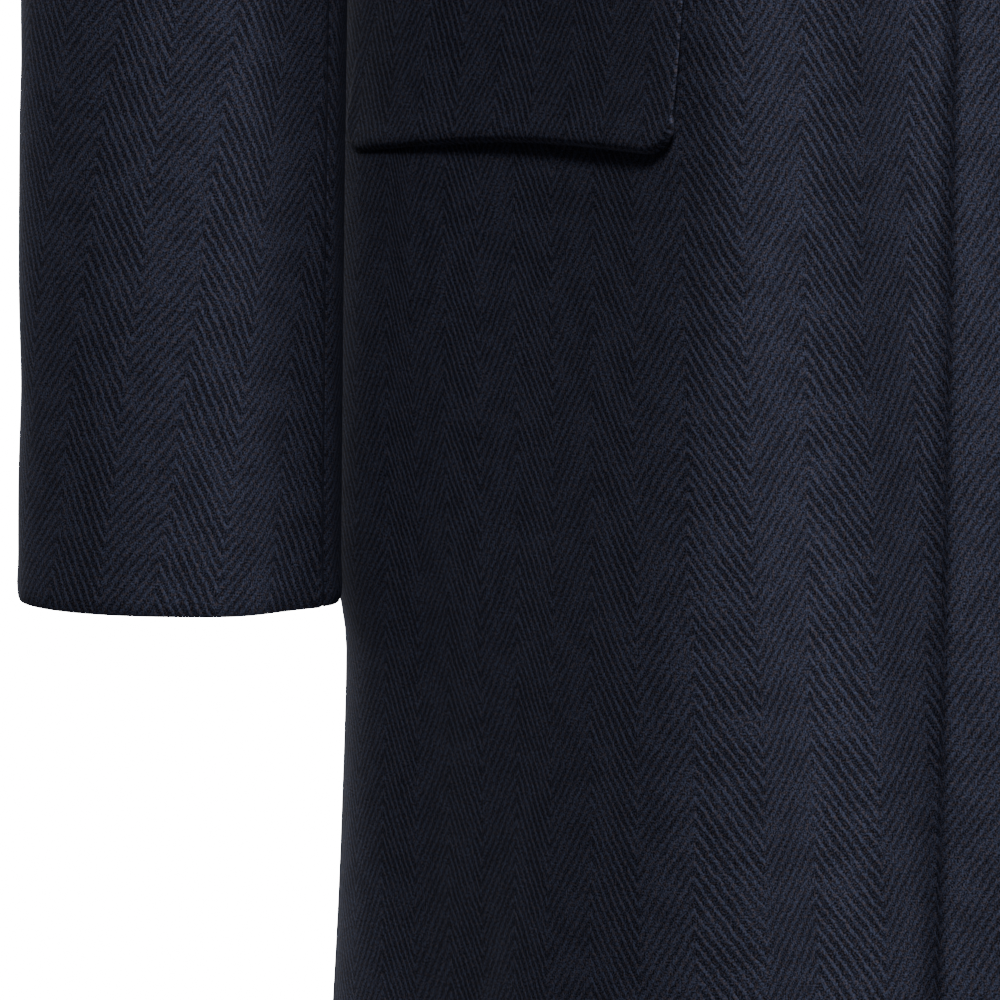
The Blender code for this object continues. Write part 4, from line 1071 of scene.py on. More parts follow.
def sleeve_grid(first, last):
    """Points of one sleeve piece between two places round the sleeve, armhole first."""
    angle = first + (last - first) * shares(int((last - first) / 2.3), EDGE_STRIPS[:3])
    runs = [0.0, 0.012, 0.025, 0.045]
    runs = np.append(runs, np.linspace(0.07, 1.0, HEAD_ROWS - len(runs), endpoint=False))
    heights = np.linspace(SLEEVE_RINGS[-1].height, SLEEVE_RINGS[0].height + 0.006, 96)
    heights = np.concatenate([heights, SLEEVE_RINGS[0].height + np.array([0.0035, 0.0015, 0.0])])
    rows = [sleeve_cap(angle, run) for run in runs]
    rows += [sleeve_ring(angle, np.full_like(angle, height)) for height in heights]
    rows = np.array(rows)
    turn = np.radians(angle)
    outward = np.stack([np.sin(turn), -np.cos(turn), np.zeros_like(turn)], -1)
    moved = np.zeros(rows.shape[:2])
    for crease in SLEEVE_CREASES:
        off = (angle - crease.turn)[None, :]
        line = rows[..., 2] - crease.height - crease.slope * off
        moved += crease.depth * np.exp(-0.5 * (line / crease.tall) ** 2
                                       - 0.5 * (off / crease.wide) ** 2)
    for ridge in SLEEVE_LINES:
        off = (angle - ridge.turn)[None, :]
        length = ridge.top - ridge.bottom
        t = (ridge.top - rows[..., 2]) / length
        moved += (ridge.depth * ease(t / 0.35) * ease((1 - t) / 0.25 + 0.2)
                  * np.exp(-0.5 * (off / ridge.wide) ** 2))
    return rows + outward[None] * moved[..., None]


class OVERCOAT_OT_sleeves(bpy.types.Operator):
    """Make the two-piece sleeves, each a top sleeve and an under sleeve"""
    bl_idname = "overcoat.sleeves"
    bl_label = "Sleeves"

    def execute(self, context):
        ring = SLEEVE_RINGS[-1]
        gap = SLEEVE_SEAM_GAP
        pieces = (("top_sleeve_", FRONT_SLEEVE_SEAM + gap, BACK_SLEEVE_SEAM - gap),
                  ("under_sleeve_", BACK_SLEEVE_SEAM + gap, FRONT_SLEEVE_SEAM + 360 - gap))
        for name, side in (("left", 1), ("right", -1)):
            def away(at):
                return np.array([at[0] - side * ring.across, at[1] - ring.along, 0.0])
            for start, first, last in pieces:
                grid = mirrored(sleeve_grid(first, last), side)
                grid = pressed(grid, away, sewn="blr", turned="t")
                u, v, sway = grain_map(grid, away, len(grid) - 1)
                angles = np.linspace(first, last, grid.shape[1])
                column = int(np.argmin(np.abs(angles - (0.0 if first < 0 else 270.0))))
                u = u - u[:, column:column + 1] + sway[:, column:column + 1]
                head = run_along(grid[:HEAD_ROWS + 1], 0)
                u[:HEAD_ROWS] = u[HEAD_ROWS]
                v[:HEAD_ROWS] = v[HEAD_ROWS] + head[-1] - head[:-1]
                across = side * SLEEVE_PEAK[0]
                u, v = leaned(u - across, v - SLEEVE_PEAK[1], -side * SLEEVE_GRAIN)
                piece = cloth_sheet(start + name + "_cloth", grid, u, v, away)
                declared(piece, grid, ["front_" + name, "back_" + name], start + name)
        return {"FINISHED"}


# ---------------------------------------------------------------- pocket flaps
def front_arc(height, side):
    """A level line on the front: its turns, its points and the distance along the cloth."""
    turns = np.linspace(0.0, SIDE_SEAM_TURN, 260)
    places = np.stack([turns, np.full_like(turns, height - CHEST_HEIGHT)], -1)
    line = front_surface(places, side)
    return turns, line, run_along(line, 0)


def flap_grid(side):
    """The flap's face, and the grain coordinates of its own cut."""
    across, top = POCKET_FRONT
    _, line, run = front_arc(top, side)
    start = np.interp(across, line[:, 0], run)
    corner = FLAP_CORNER * np.array([0.0, 0.03, 0.09, 0.18, 0.30, 0.45, 0.62, 0.80, 1.0])
    middle = np.linspace(FLAP_CORNER, FLAP_LENGTH - FLAP_CORNER, 60)[1:-1]
    along = np.concatenate([corner, middle, FLAP_LENGTH - corner[::-1]])
    ends = np.minimum(np.minimum(along, FLAP_LENGTH - along), FLAP_CORNER)
    depth = (FLAP_DEPTH - FLAP_ARCH * np.sin(math.pi * along / FLAP_LENGTH)
             - FLAP_CORNER + np.sqrt(FLAP_CORNER ** 2 - (FLAP_CORNER - ends) ** 2))
    down = shares(26, (0.008, 0.019, 0.033, 0.050, 0.075))
    q = down[:, None]
    distance = start + along * math.cos(FLAP_SLANT) + q * depth * math.sin(FLAP_SLANT)
    height = top - along * math.sin(FLAP_SLANT) - q * depth * math.cos(FLAP_SLANT)
    levels = np.linspace(height.min() - 0.001, height.max() + 0.001, 28)
    arcs = [front_arc(level, side) for level in levels]
    table = np.array([np.interp(distance.ravel(), run, turns) for turns, _, run in arcs])
    place = (height.ravel() - levels[0]) / (levels[1] - levels[0])
    cell = np.minimum(place.astype(int), len(levels) - 2)
    share = place - cell
    which = np.arange(distance.size)
    turn = table[cell, which] * (1 - share) + table[cell + 1, which] * share
    places = np.stack([turn.reshape(distance.shape), height - CHEST_HEIGHT], -1)
    stand = (WALL + LAYER_GAP + FLAP_STAND * q ** 1.6
             - FLAP_SINK * np.exp(-(q / FLAP_SINK_SHARE) ** 2))
    stand = stand - FLAP_CURL * np.exp(-((1 - q) * depth / FLAP_CURL_WIDTH) ** 2)
    grid = front_surface(places, side, stand)
    return grid, along[None] + 0 * height, -q * depth


def outward_from_middle(at):
    return np.array([at[0], at[1], 0.0])


class OVERCOAT_OT_flaps(bpy.types.Operator):
    """Make the two pocket flaps, standing a little off the fronts"""
    bl_idname = "overcoat.flaps"
    bl_label = "Pocket flaps"

    def execute(self, context):
        cloth = context.scene.overcoat_cloth
        for name, side in (("left", 1), ("right", -1)):
            grid, along, down = flap_grid(side)
            grid = mirrored(pressed(grid, outward_from_middle, turned="tlr"), side)
            u, v = leaned(side * along, down, -side * (FLAP_GRAIN - FLAP_SLANT))
            piece = cloth_sheet("pocket_flap_" + name + "_cloth", grid,
                                u + FLAP_PEAK_LINE - cloth.repeat, v, outward_from_middle)
            declared(piece, grid, ["front_" + name], "pocket_flap_" + name)
        return {"FINISHED"}


# ---------------------------------------------------------------- buttons and buttonholes
HOLE_SPACING = 0.17           # thread holes from the button's middle, in its radius
HOLE_RADIUS = 0.0011
STRAND_STEP = 0.00032         # from one strand of thread to the next
STRAND_RADIUS = 0.00028


def button_face(height):
    """Centre of a button's underside on the lapping front, and the way it faces."""
    place = np.array([0.0, height - CHEST_HEIGHT])
    return front_surface(place, 1, 2 * LAYER_GAP), body_normal(*place)


def set_in_place(mesh, centre, facing):
    """Move a mesh made with its face along +Z to its place on the front."""
    turn = Vector(facing).to_track_quat("Z", "Y").to_matrix().to_4x4()
    mesh.transform(Matrix.Translation(Vector(centre)) @ turn)
    mesh.update()


def turned_button(name, settings):
    """A turned horn disc with a raised rim, a dished middle and four thread holes."""
    thick, radius = settings.thickness, settings.radius
    outline = [(0.44, 0.52), (0.60, 0.56), (0.68, 0.70), (0.75, 0.90), (0.82, 0.98), (0.90, 1.00),
               (0.96, 0.92), (1.00, 0.66), (0.99, 0.42), (0.90, 0.10), (0.80, 0.0)]
    work = bmesh.new()
    steps = 72
    rings = []
    for across, tall in outline:
        ring = [work.verts.new((radius * across * math.cos(a), radius * across * math.sin(a),
                                thick * tall))
                for a in np.linspace(0, 2 * math.pi, steps, endpoint=False)]
        rings.append(ring)
    for low, high in zip(rings, rings[1:]):
        for i in range(steps):
            j = (i + 1) % steps
            work.faces.new((low[i], high[i], high[j], low[j]))
    work.faces.new(rings[0])
    work.faces.new(rings[-1][::-1])
    bmesh.ops.recalc_face_normals(work, faces=work.faces)
    mesh = bpy.data.meshes.new(name)
    work.to_mesh(mesh)
    work.free()
    return mesh


def drilled(piece, spacing):
    """Cut the four thread holes, and keep the result as the piece's own mesh."""
    work = bmesh.new()
    for x, y in ((1, 1), (1, -1), (-1, 1), (-1, -1)):
        at = Matrix.Translation((x * spacing, y * spacing, 0))
        bmesh.ops.create_cone(work, cap_ends=True, segments=20, radius1=HOLE_RADIUS,
                              radius2=HOLE_RADIUS, depth=0.012, matrix=at)
    tool_mesh = bpy.data.meshes.new("thread_holes")
    work.to_mesh(tool_mesh)
    work.free()
    tool = bpy.data.objects.new("thread_holes", tool_mesh)
    bpy.context.scene.collection.objects.link(tool)
    cut = piece.modifiers.new("Holes", "BOOLEAN")
    cut.operation = "DIFFERENCE"
    cut.object = tool
    graph = bpy.context.evaluated_depsgraph_get()
    mesh = bpy.data.meshes.new_from_object(piece.evaluated_get(graph))
    piece.modifiers.clear()
    piece.data = mesh
    bpy.data.objects.remove(tool, do_unlink=True)


def thread_through(spacing, thick):
    """Two crossed bars of thread through the holes."""
    work = bmesh.new()
    for way in (1, -1):
        for strand in (-STRAND_STEP, 0.0, STRAND_STEP):
            path = []
            for t in np.linspace(-1, 1, 13):
                reach = spacing * t
                drop = thick * (0.10 + 0.9 * max(0.0, abs(t) - 0.82) / 0.18)
                path.append(Vector((reach, way * reach, thick * 0.52 + 0.0006 - drop))
                            + Vector((-way, 1, 0)).normalized() * strand)
            rings = []
            for i, point in enumerate(path):
                tangent = (path[min(i + 1, 12)] - path[max(i - 1, 0)]).normalized()
                side = tangent.cross(Vector((0, 0, 1))).normalized()
                over = side.cross(tangent)
                rings.append([work.verts.new(point + (side * math.cos(a) + over * math.sin(a))
                                             * STRAND_RADIUS)
                              for a in np.linspace(0, 2 * math.pi, 8, endpoint=False)])
            for low, high in zip(rings, rings[1:]):
                for i in range(8):
                    j = (i + 1) % 8
                    work.faces.new((low[i], low[j], high[j], high[i]))
            work.faces.new(rings[0][::-1])
            work.faces.new(rings[-1])
    bmesh.ops.recalc_face_normals(work, faces=work.faces)
    mesh = bpy.data.meshes.new("button_thread")
    work.to_mesh(mesh)
    work.free()
    return mesh


class OVERCOAT_OT_buttons(bpy.types.Operator):
    """Make the three front buttons and the thread that holds them"""
    bl_idname = "overcoat.buttons"
    bl_label = "Buttons"

    def execute(self, context):
        settings = context.scene.overcoat_buttons
        spacing = settings.radius * HOLE_SPACING
        for number, height in enumerate(BUTTON_HEIGHTS, 1):
            centre, facing = button_face(height)
            piece = bpy.data.objects.new(f"button_{number}_horn",
                                         turned_button(f"button_{number}_horn", settings))
            context.scene.collection.objects.link(piece)
            drilled(piece, spacing)
            piece.data.materials.clear()
            piece.data.materials.append(bpy.data.materials["horn_polished"])
            piece.data.polygons.foreach_set("use_smooth", np.ones(len(piece.data.polygons), bool))
            piece.data.set_sharp_from_angle(angle=math.radians(38))
            set_in_place(piece.data, centre, facing)
            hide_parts(f"button_{number}")
            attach(piece, "root")
            mesh = thread_through(spacing, settings.thickness)
            mesh.materials.append(bpy.data.materials["silk_twist_thread"])
            mesh.polygons.foreach_set("use_smooth", np.ones(len(mesh.polygons), bool))
            set_in_place(mesh, centre, facing)
            thread = bpy.data.objects.new(f"button_{number}_thread", mesh)
            context.scene.collection.objects.link(thread)
            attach(thread, "root")
        return {"FINISHED"}


def purl_tree():
    """Geometry nodes that set a close row of stitches along a curve, each across its run."""
    tree = bpy.data.node_groups.new("Purl stitches", "GeometryNodeTree")
    face = tree.interface
    face.new_socket("Geometry", in_out="INPUT", socket_type="NodeSocketGeometry")
    face.new_socket("Geometry", in_out="OUTPUT", socket_type="NodeSocketGeometry")
    for name, default in (("Spacing", 0.00062), ("Stitch length", 0.0024),
                          ("Thread radius", 0.00030)):
        socket = face.new_socket(name, in_out="INPUT", socket_type="NodeSocketFloat")
        socket.subtype = "DISTANCE"
        socket.default_value = default
    face.new_socket("Material", in_out="INPUT", socket_type="NodeSocketMaterial")
    given = add_node(tree, "NodeGroupInput").node
    resampled = add_node(tree, "GeometryNodeResampleCurve",
                         {"Curve": given.outputs["Geometry"], "Length": given.outputs["Spacing"]},
                         mode="LENGTH")
    tangent = add_node(tree, "GeometryNodeInputTangent")
    normal = add_node(tree, "GeometryNodeInputNormal")
    turn = add_node(tree, "FunctionNodeAlignRotationToVector", {"Vector": tangent}, axis="X")
    turn = add_node(tree, "FunctionNodeAlignRotationToVector", {"Rotation": turn, "Vector": normal},
                    axis="Y", pivot_axis="X")
    bead = add_node(tree, "GeometryNodeMeshUVSphere",
                    {"Segments": 6, "Rings": 5, "Radius": given.outputs["Thread radius"]})
    slim = add_node(tree, "ShaderNodeMath", {0: given.outputs["Stitch length"],
                                             1: given.outputs["Thread radius"]}, operation="DIVIDE")
    half = add_node(tree, "ShaderNodeMath", {0: slim, 1: 0.5}, operation="MULTIPLY")
    wide = add_node(tree, "ShaderNodeCombineXYZ", {"X": 1.05, "Y": half, "Z": 1.0})
    stitch = add_node(tree, "GeometryNodeTransform", {"Geometry": bead, "Scale": wide})
    placed = add_node(tree, "GeometryNodeInstanceOnPoints",
                      {"Points": resampled, "Instance": stitch, "Rotation": turn})
    real = add_node(tree, "GeometryNodeRealizeInstances", {"Geometry": placed})
    soft = add_node(tree, "GeometryNodeSetShadeSmooth", {"Geometry": real})
    done = add_node(tree, "GeometryNodeSetMaterial",
                    {"Geometry": soft, "Material": given.outputs["Material"]})
    out = tree.nodes.new("NodeGroupOutput")
    tree.links.new(done, out.inputs["Geometry"])
    return tree


def buttonhole_path(length, side_step):
    """A keyhole buttonhole's outline, its eye towards the front edge, lying along X."""
    eye = 0.0016
    points = []
    for a in np.radians(np.linspace(150, -150, 11)):
        points.append((eye * math.cos(a) + eye * 0.2, eye * math.sin(a)))
    points = [(x, y * (1 + side_step / eye)) for x, y in points]
    upper = [(x, side_step) for x in np.linspace(-length + 0.004, -0.003, 6)]
    lower = [(x, -side_step) for x, _ in upper[::-1]]
    bar = [(-length + 0.0025, -side_step * 0.6), (-length + 0.0022, 0.0),
           (-length + 0.0025, side_step * 0.6)]
    return upper + points + lower + bar


class OVERCOAT_OT_buttonholes(bpy.types.Operator):
    """Make the stitched buttonholes behind the buttons"""
    bl_idname = "overcoat.buttonholes"
    bl_label = "Buttonholes"

    def execute(self, context):
        settings = context.scene.overcoat_buttons
        tree = purl_tree()
        named = {item.name: item.identifier for item in tree.interface.items_tree
                 if item.in_out == "INPUT"}
        for number, height in enumerate(BUTTON_HEIGHTS, 1):
            curve = bpy.data.curves.new("buttonhole_run", "CURVE")
            curve.dimensions = "3D"
            points = buttonhole_path(settings.buttonhole, 0.0013)
            spline = curve.splines.new("POLY")
            spline.points.add(len(points) - 1)
            spline.use_cyclic_u = True
            rise = height - CHEST_HEIGHT
            for point, (x, y) in zip(spline.points, points):
                place = np.array([float(turn_across(x + 0.003, rise + y)), rise + y])
                where = front_surface(place, 1, 0.0002)
                point.co = (*where, 1.0)
            piece = bpy.data.objects.new(f"buttonhole_{number}_run", curve)
            context.scene.collection.objects.link(piece)
            purl = piece.modifiers.new("Purl", "NODES")
            purl.node_group = tree
            purl[named["Spacing"]] = settings.purl_spacing
            purl[named["Material"]] = bpy.data.materials["silk_twist_thread"]
            graph = context.evaluated_depsgraph_get()
            mesh = bpy.data.meshes.new_from_object(piece.evaluated_get(graph))
            if len(mesh.polygons) < 100:
                raise RuntimeError("the buttonhole's stitches did not come out")
            stitched = bpy.data.objects.new(f"buttonhole_{number}", mesh)
            context.scene.collection.objects.link(stitched)
            bpy.data.objects.remove(piece, do_unlink=True)
            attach(stitched, "root")
        return {"FINISHED"}


# ---------------------------------------------------------------- materials
def add_node(tree, kind, inputs=None, out=0, **settings):
    """Add a node with its settings and linked or set inputs; returns one of its outputs."""
    node = tree.nodes.new(kind)
    for name, value in settings.items():
        setattr(node, name, value)
    for name, value in (inputs or {}).items():
        if isinstance(value, bpy.types.NodeSocket):
            tree.links.new(value, node.inputs[name])
        else:
            node.inputs[name].default_value = value
    return node.outputs[out]


def new_material(name):
    """An empty Principled material: the material, its tree and its shader."""
    material = bpy.data.materials.new(name)
    material.use_nodes = True
    return material, material.node_tree, material.node_tree.nodes["Principled BSDF"]


def chained(tree, known, steps):
    """Add a row of nodes, each with its name, kind, inputs by name or value, and settings."""
    for name, kind, inputs, settings in steps:
        ready = {key: known[value] if isinstance(value, str) else value
                 for key, value in inputs.items()}
        known[name] = add_node(tree, kind, ready, **settings)
    return known


def herringbone_wool(cloth):
    """Milled wool coating in a wide herringbone: matt, soft, with a short nap.

    The ribs are slate-blue yarn on a navy-black ground. Ribs that fall to the right of a peak
    are painted crisp and those on its left blurred: painted light, the stronger and weaker rib
    contrast that the light gives the two rib directions. Sizes are in millimetres.
    """
    material, tree, shader = new_material("herringbone_wool_milled")
    repeat, pitch = cloth.repeat * 1000, cloth.rib_pitch * 1000
    maths = "ShaderNodeMath"
    known = chained(tree, {"uv": add_node(tree, "ShaderNodeUVMap", uv_map="cloth")}, [
        ("mm", "ShaderNodeVectorMath", {0: "uv", "Scale": 1000.0}, {"operation": "SCALE"}),
    ])
    # the cloth is never laid quite straight, and its yarns are uneven
    laid = "mm"
    for name, scale, detail, reach in (("sway", 0.018, 1.0, (4.0, 4.0, 0.0)),
                                       ("shake", 0.22, 2.0, (1.1, 1.5, 0.0)),
                                       ("fray", 1.15, 2.0, (0.4, 0.8, 0.0))):
        chained(tree, known, [
            (name, "ShaderNodeTexNoise", {"Vector": "mm", "Scale": scale, "Detail": detail},
             {"out": "Color", "noise_dimensions": "2D"}),
            ("either_way", "ShaderNodeVectorMath", {0: name, 1: (0.5, 0.5, 0.5)},
             {"operation": "SUBTRACT"}),
            (name + "_laid", "ShaderNodeVectorMath", {0: "either_way", 1: reach, 2: laid},
             {"operation": "MULTIPLY_ADD"}),
        ])
        laid = name + "_laid"
    split = add_node(tree, "ShaderNodeSeparateXYZ", {"Vector": known["fray_laid"]}).node
    calm = add_node(tree, "ShaderNodeSeparateXYZ", {"Vector": known["sway_laid"]}).node
    known.update(u=split.outputs["X"], v=split.outputs["Y"], calm_u=calm.outputs["X"])
    chained(tree, known, [
        # distance from the nearest peak line, 0 to half a repeat
        ("turns", maths, {0: "calm_u", 1: repeat}, {"operation": "DIVIDE"}),
        ("t", maths, {0: "turns"}, {"operation": "FRACT"}),
        # the side of a peak picks the painted crisp ribs here and the painted dull ribs on the
        # other side: painted light for how the light falls on each rib direction
        ("right", maths, {0: "t", 1: 0.5}, {"operation": "LESS_THAN"}),
        ("u_turns", maths, {0: "u", 1: repeat}, {"operation": "DIVIDE"}),
        ("away", maths, {0: "u_turns", 1: 0.5}, {"operation": "PINGPONG"}),
        ("away_mm", maths, {0: "away", 1: repeat}, {"operation": "MULTIPLY"}),
        # each rib climbs by one yarn at a time
        ("yarn", maths, {0: "away_mm", 1: 0.80}, {"operation": "SNAP"}),
        ("stepped", "ShaderNodeMix", {"Factor": 0.22, "A": "away_mm", "B": "yarn"},
         {"data_type": "FLOAT"}),
        ("climb", maths, {0: "stepped", 1: cloth.rib_rise, 2: "v"}, {"operation": "MULTIPLY_ADD"}),
        ("ribs", maths, {0: "climb", 1: pitch}, {"operation": "DIVIDE"}),
        ("wave", maths, {0: "ribs", 1: 0.5}, {"operation": "PINGPONG"}),
        # crisp and blurred rib edges: painted light, the sharper and softer contrast that the light
        # gives the two rib directions
        ("crisp", "ShaderNodeMapRange", {"Value": "wave", "From Min": 0.24, "From Max": 0.40},
         {"interpolation_type": "SMOOTHSTEP"}),
        ("blurred", "ShaderNodeMapRange", {"Value": "wave", "From Min": 0.08, "From Max": 0.46},
         {"interpolation_type": "SMOOTHSTEP"}),
        # grains of separate fibres, about a millimetre across, and the clouds they lie in
        ("grain", "ShaderNodeTexNoise", {"Vector": "mm", "Scale": 1.9, "Detail": 2.0,
                                         "Roughness": 0.7}, {"noise_dimensions": "2D"}),
        ("fibre_at", "ShaderNodeVectorMath", {0: "mm", 1: (2.0, 1.2, 1.0)},
         {"operation": "MULTIPLY"}),
        ("fibre", "ShaderNodeTexNoise", {"Vector": "fibre_at", "Scale": 0.8, "Detail": 2.0,
                                         "Roughness": 0.7}, {"noise_dimensions": "2D"}),
        ("patch", "ShaderNodeTexNoise", {"Vector": "mm", "Scale": 0.10, "Detail": 3.0},
         {"noise_dimensions": "2D"}),
        ("worn", "ShaderNodeMapRange", {"Value": "patch", "From Min": 0.35, "From Max": 0.65,
                                        "To Min": 0.84, "To Max": 1.10}, {}),
        # the two rib tones, dull and crisp, are painted light for the light on each rib direction,
        # chosen by the side of the peak
        ("painted_light_dull_rib", maths, {0: "blurred", 1: 0.32, 2: 0.22}, {"operation": "MULTIPLY_ADD"}),
        ("painted_light_crisp_rib", maths, {0: "crisp", 1: 0.46, 2: 0.19}, {"operation": "MULTIPLY_ADD"}),
        ("chosen", "ShaderNodeMix", {"Factor": "right", "A": "painted_light_dull_rib", "B": "painted_light_crisp_rib"},
         {"data_type": "FLOAT"}),
        # the nap hides the ribs in places
        ("hidden", "ShaderNodeMapRange", {"Value": "patch", "From Min": 0.50, "From Max": 0.70,
                                          "To Max": 0.50}, {}),
        ("seen", "ShaderNodeMix", {"Factor": "hidden", "A": "chosen", "B": 0.37},
         {"data_type": "FLOAT"}),
        ("broken", "ShaderNodeMapRange", {"Value": "fibre", "From Min": 0.30, "From Max": 0.70,
                                          "To Min": 0.45, "To Max": 1.50}, {"clamp": False}),
        ("pepper", "ShaderNodeMapRange", {"Value": "grain", "From Min": 0.28, "From Max": 0.72,
                                          "To Min": -0.44, "To Max": 0.48}, {"clamp": False}),
        ("fleck", "ShaderNodeMapRange", {"Value": "grain", "From Min": 0.60, "From Max": 0.74},
         {"interpolation_type": "SMOOTHSTEP"}),
        ("textured", maths, {0: "seen", 1: "broken", 2: "pepper"},
         {"operation": "MULTIPLY_ADD"}),
        ("flecked", maths, {0: "fleck", 1: 0.22, 2: "textured"}, {"operation": "MULTIPLY_ADD"}),
        ("shown", maths, {0: "flecked", 1: "worn"}, {"operation": "MULTIPLY", "use_clamp": True}),
        ("colour", "ShaderNodeMix", {"Factor": "shown", "A": (*cloth.ground_colour, 1.0),
                                     "B": (*cloth.rib_colour, 1.0)},
         {"data_type": "RGBA", "out": 2}),
        # some yarns are dyed a browner shade, so the cloth is not one even blue
        ("dye", "ShaderNodeTexNoise", {"Vector": "mm", "Scale": 0.90, "Detail": 1.0},
         {"noise_dimensions": "2D"}),
        ("brown", "ShaderNodeMapRange", {"Value": "dye", "From Min": 0.46, "From Max": 0.66,
                                         "To Max": 1.0}, {}),
        ("warm", "ShaderNodeVectorMath", {0: "colour", 1: (1.30, 0.95, 0.70)},
         {"operation": "MULTIPLY"}),
        ("tinted", "ShaderNodeMix", {"Factor": "brown", "A": "colour", "B": "warm"},
         {"data_type": "RGBA", "out": 2}),
        ("relief", maths, {0: "fibre", 1: 0.6, 2: "chosen"}, {"operation": "MULTIPLY_ADD"}),
        ("bump", "ShaderNodeBump", {"Height": "relief", "Strength": 0.5, "Distance": 0.00035},
         {}),
    ])
    tree.links.new(known["tinted"], shader.inputs["Base Color"])
    tree.links.new(known["bump"], shader.inputs["Normal"])
    shader.inputs["Roughness"].default_value = 0.92
    shader.inputs["Specular IOR Level"].default_value = 0.12
    shader.inputs["Sheen Weight"].default_value = 0.04
    shader.inputs["Sheen Roughness"].default_value = 0.5
    shader.inputs["Sheen Tint"].default_value = (*linear("8f96b0"), 1.0)
    return material


def wool_underside(cloth):
    """Inside face of the milled coating: darker and plainer, with a short felted nap."""
    material, tree, shader = new_material("wool_underside_milled")
    known = chained(tree, {"uv": add_node(tree, "ShaderNodeUVMap", uv_map="cloth")}, [
        ("nap", "ShaderNodeTexNoise", {"Vector": "uv", "Scale": 900.0, "Detail": 3.0},
         {"noise_dimensions": "2D"}),
        ("tone", "ShaderNodeMapRange", {"Value": "nap", "From Min": 0.3, "From Max": 0.7,
                                        "To Min": 0.5, "To Max": 1.5}, {}),
        ("colour", "ShaderNodeVectorMath", {0: tuple(cloth.underside_colour), "Scale": "tone"},
         {"operation": "SCALE"}),
        ("bump", "ShaderNodeBump", {"Height": "nap", "Strength": 0.4, "Distance": 0.0003}, {}),
    ])
    tree.links.new(known["colour"], shader.inputs["Base Color"])
    tree.links.new(known["bump"], shader.inputs["Normal"])
    shader.inputs["Roughness"].default_value = 0.95
    shader.inputs["Specular IOR Level"].default_value = 0.2
    return material


def polished_horn(buttons):
    """Turned and polished horn: dark brown, cloudy, with faint streaks and a soft gloss."""
    material, tree, shader = new_material("horn_polished")
    known = chained(tree, {"at": add_node(tree, "ShaderNodeTexCoord", out="Object")}, [
        ("drawn", "ShaderNodeVectorMath", {0: "at", 1: (160.0, 160.0, 520.0)},
         {"operation": "MULTIPLY"}),
        ("cloud", "ShaderNodeTexNoise", {"Vector": "drawn", "Scale": 1.0, "Detail": 4.0,
                                         "Distortion": 0.8}, {}),
        ("share", "ShaderNodeMapRange", {"Value": "cloud", "From Min": 0.35, "From Max": 0.75},
         {"interpolation_type": "SMOOTHSTEP"}),
        ("colour", "ShaderNodeMix", {"Factor": "share", "A": (*buttons.horn_colour, 1.0),
                                     "B": (*linear("2d231c"), 1.0)},
         {"data_type": "RGBA", "out": 2}),
        ("gloss", "ShaderNodeMapRange", {"Value": "cloud", "To Min": 0.26, "To Max": 0.40}, {}),
    ])
    tree.links.new(known["colour"], shader.inputs["Base Color"])
    tree.links.new(known["gloss"], shader.inputs["Roughness"])
    shader.inputs["IOR"].default_value = 1.54
    return material


def silk_thread(buttons):
    """Twisted silk thread: fine, a little shiny, with the twist drawn as slanting lines."""
    material, tree, shader = new_material("silk_twist_thread")
    known = chained(tree, {"at": add_node(tree, "ShaderNodeTexCoord", out="Object")}, [
        ("twist", "ShaderNodeTexWave", {"Vector": "at", "Scale": 900.0, "Distortion": 1.5},
         {"bands_direction": "DIAGONAL"}),
        ("tone", "ShaderNodeMapRange", {"Value": "twist", "To Min": 0.6, "To Max": 1.6}, {}),
        ("colour", "ShaderNodeVectorMath", {0: tuple(buttons.thread_colour), "Scale": "tone"},
         {"operation": "SCALE"}),
    ])
    tree.links.new(known["colour"], shader.inputs["Base Color"])
    shader.inputs["Roughness"].default_value = 0.55
    shader.inputs["Sheen Weight"].default_value = 0.2
    return material


class OVERCOAT_OT_finishes(bpy.types.Operator):
    """Make the wool, horn and thread finishes"""
    bl_idname = "overcoat.finishes"
    bl_label = "Finishes"

    def execute(self, context):
        herringbone_wool(context.scene.overcoat_cloth)
        wool_underside(context.scene.overcoat_cloth)
        polished_horn(context.scene.overcoat_buttons)
        silk_thread(context.scene.overcoat_buttons)
        return {"FINISHED"}


# ---------------------------------------------------------------- stage
LIGHTS_AIM = (0.0, 0.0, -0.55)
SEEN_FROM = (0.0, -4.0, -0.2)
AIMED_AT = (-0.1619, -0.155, -0.674375)


def placed_at(name, data, place, aimed_at):
    """Put a light or the camera in its place, turned to what it is aimed at."""
    piece = bpy.data.objects.new(name, data)
    bpy.context.scene.collection.objects.link(piece)
    piece.location = place
    aim = Vector(aimed_at) - Vector(place)
    piece.rotation_mode = "QUATERNION"
    piece.rotation_quaternion = aim.to_track_quat("-Z", "Y")
    return piece


def pale_floor(settings):
    """A round floor far below the hem, which throws no light up under the edges."""
    work = bmesh.new()
    bmesh.ops.create_circle(work, cap_ends=True, segments=96, radius=3.4)
    mesh = bpy.data.meshes.new("floor")
    work.to_mesh(mesh)
    work.free()
    mesh.transform(Matrix.Translation((0, 0, settings.floor_height)))
    material, _, shader = new_material("pale_floor_matt_paint")
    shader.inputs["Base Color"].default_value = (*linear("f8f7f4"), 1.0)
    shader.inputs["Roughness"].default_value = 0.9
    mesh.materials.append(material)
    floor = bpy.data.objects.new("floor", mesh)
    bpy.context.scene.collection.objects.link(floor)
    floor.visible_diffuse = False


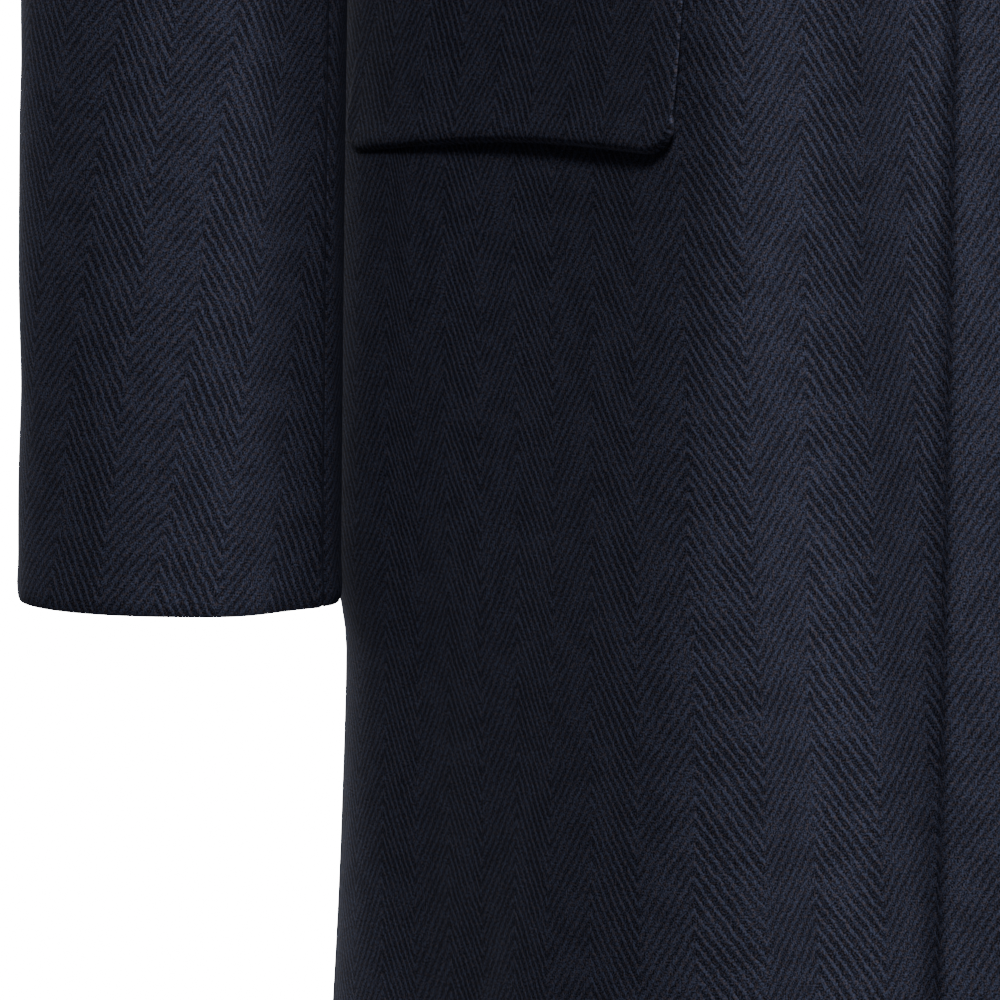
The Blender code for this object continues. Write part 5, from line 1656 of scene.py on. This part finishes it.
def pale_surround(settings):
    """Faint light from all round, and the white paper that only the camera sees."""
    world = bpy.data.worlds.new("pale_surround")
    world.use_nodes = True
    tree = world.node_tree
    light = tree.nodes["Background"]
    light.inputs["Strength"].default_value = settings.world_strength
    light.inputs["Color"].default_value = (1, 1, 1, 1)
    paper = add_node(tree, "ShaderNodeBackground",
                     {"Color": (1, 1, 1, 1), "Strength": settings.paper_strength})
    shown = add_node(tree, "ShaderNodeMixShader", {
        0: add_node(tree, "ShaderNodeLightPath", out="Is Camera Ray"),
        1: light.outputs[0], 2: paper})
    tree.links.new(shown, tree.nodes["World Output"].inputs["Surface"])
    bpy.context.scene.world = world


def softboxes(settings):
    """The four softboxes: name, place, size and power."""
    for name, place, size, power in (
            ("key_softbox", (3.0, -1.55, 1.9), 1.0, settings.key_power),
            ("front_softbox", (0.0, -3.0, 2.5), 0.9, settings.fill_power),
            ("rim_softbox", (-2.6, 1.2, 2.3), 1.2, settings.rim_power),
            ("back_softbox", (-1.6, 3.2, 1.2), 2.0, settings.back_power)):
        light = bpy.data.lights.new(name, "AREA")
        light.size = size
        light.energy = power
        placed_at(name, light, place, LIGHTS_AIM)


def front_camera(settings):
    """The camera before the coat, close on the right front and cuff."""
    camera = bpy.data.cameras.new("front_camera")
    camera.sensor_width = 36.0
    camera.lens = settings.lens
    camera.clip_start = 0.1
    camera.clip_end = 50.0
    bpy.context.scene.camera = placed_at("front_camera", camera, SEEN_FROM, AIMED_AT)


class OVERCOAT_OT_stage(bpy.types.Operator):
    """Make the pale floor, the soft lights and the camera"""
    bl_idname = "overcoat.stage"
    bl_label = "Stage"

    def execute(self, context):
        settings = context.scene.overcoat_stage
        pale_floor(settings)
        pale_surround(settings)
        softboxes(settings)
        front_camera(settings)
        return {"FINISHED"}


# ---------------------------------------------------------------- panel
class OVERCOAT_PT_pieces(bpy.types.Panel):
    bl_idname = "OVERCOAT_PT_pieces"
    bl_label = "Overcoat"
    bl_space_type = "VIEW_3D"
    bl_region_type = "UI"
    bl_category = "Overcoat"

    def draw(self, context):
        for operator in OPERATORS:
            self.layout.operator(operator.bl_idname)
        for group in ("overcoat_cloth", "overcoat_buttons", "overcoat_stage"):
            settings = getattr(context.scene, group)
            box = self.layout.box()
            for name in settings.__annotations__:
                box.prop(settings, name)


OPERATORS = (OVERCOAT_OT_finishes, OVERCOAT_OT_fronts, OVERCOAT_OT_backs, OVERCOAT_OT_lapels,
             OVERCOAT_OT_collar, OVERCOAT_OT_sleeves, OVERCOAT_OT_flaps, OVERCOAT_OT_buttons,
             OVERCOAT_OT_buttonholes, OVERCOAT_OT_stage)
CLASSES = (OvercoatCloth, OvercoatButtons, OvercoatStage) + OPERATORS + (OVERCOAT_PT_pieces,)


def register():
    for item in CLASSES:
        bpy.utils.register_class(item)
    bpy.types.Scene.overcoat_cloth = PointerProperty(type=OvercoatCloth)
    bpy.types.Scene.overcoat_buttons = PointerProperty(type=OvercoatButtons)
    bpy.types.Scene.overcoat_stage = PointerProperty(type=OvercoatStage)


def unregister():
    for name in ("overcoat_stage", "overcoat_buttons", "overcoat_cloth"):
        delattr(bpy.types.Scene, name)
    for item in reversed(CLASSES):
        bpy.utils.unregister_class(item)


def main():
    register()
    for operator in OPERATORS:
        group, name = operator.bl_idname.split(".")
        getattr(getattr(bpy.ops, group), name)()


if __name__ == "__main__":
    main()
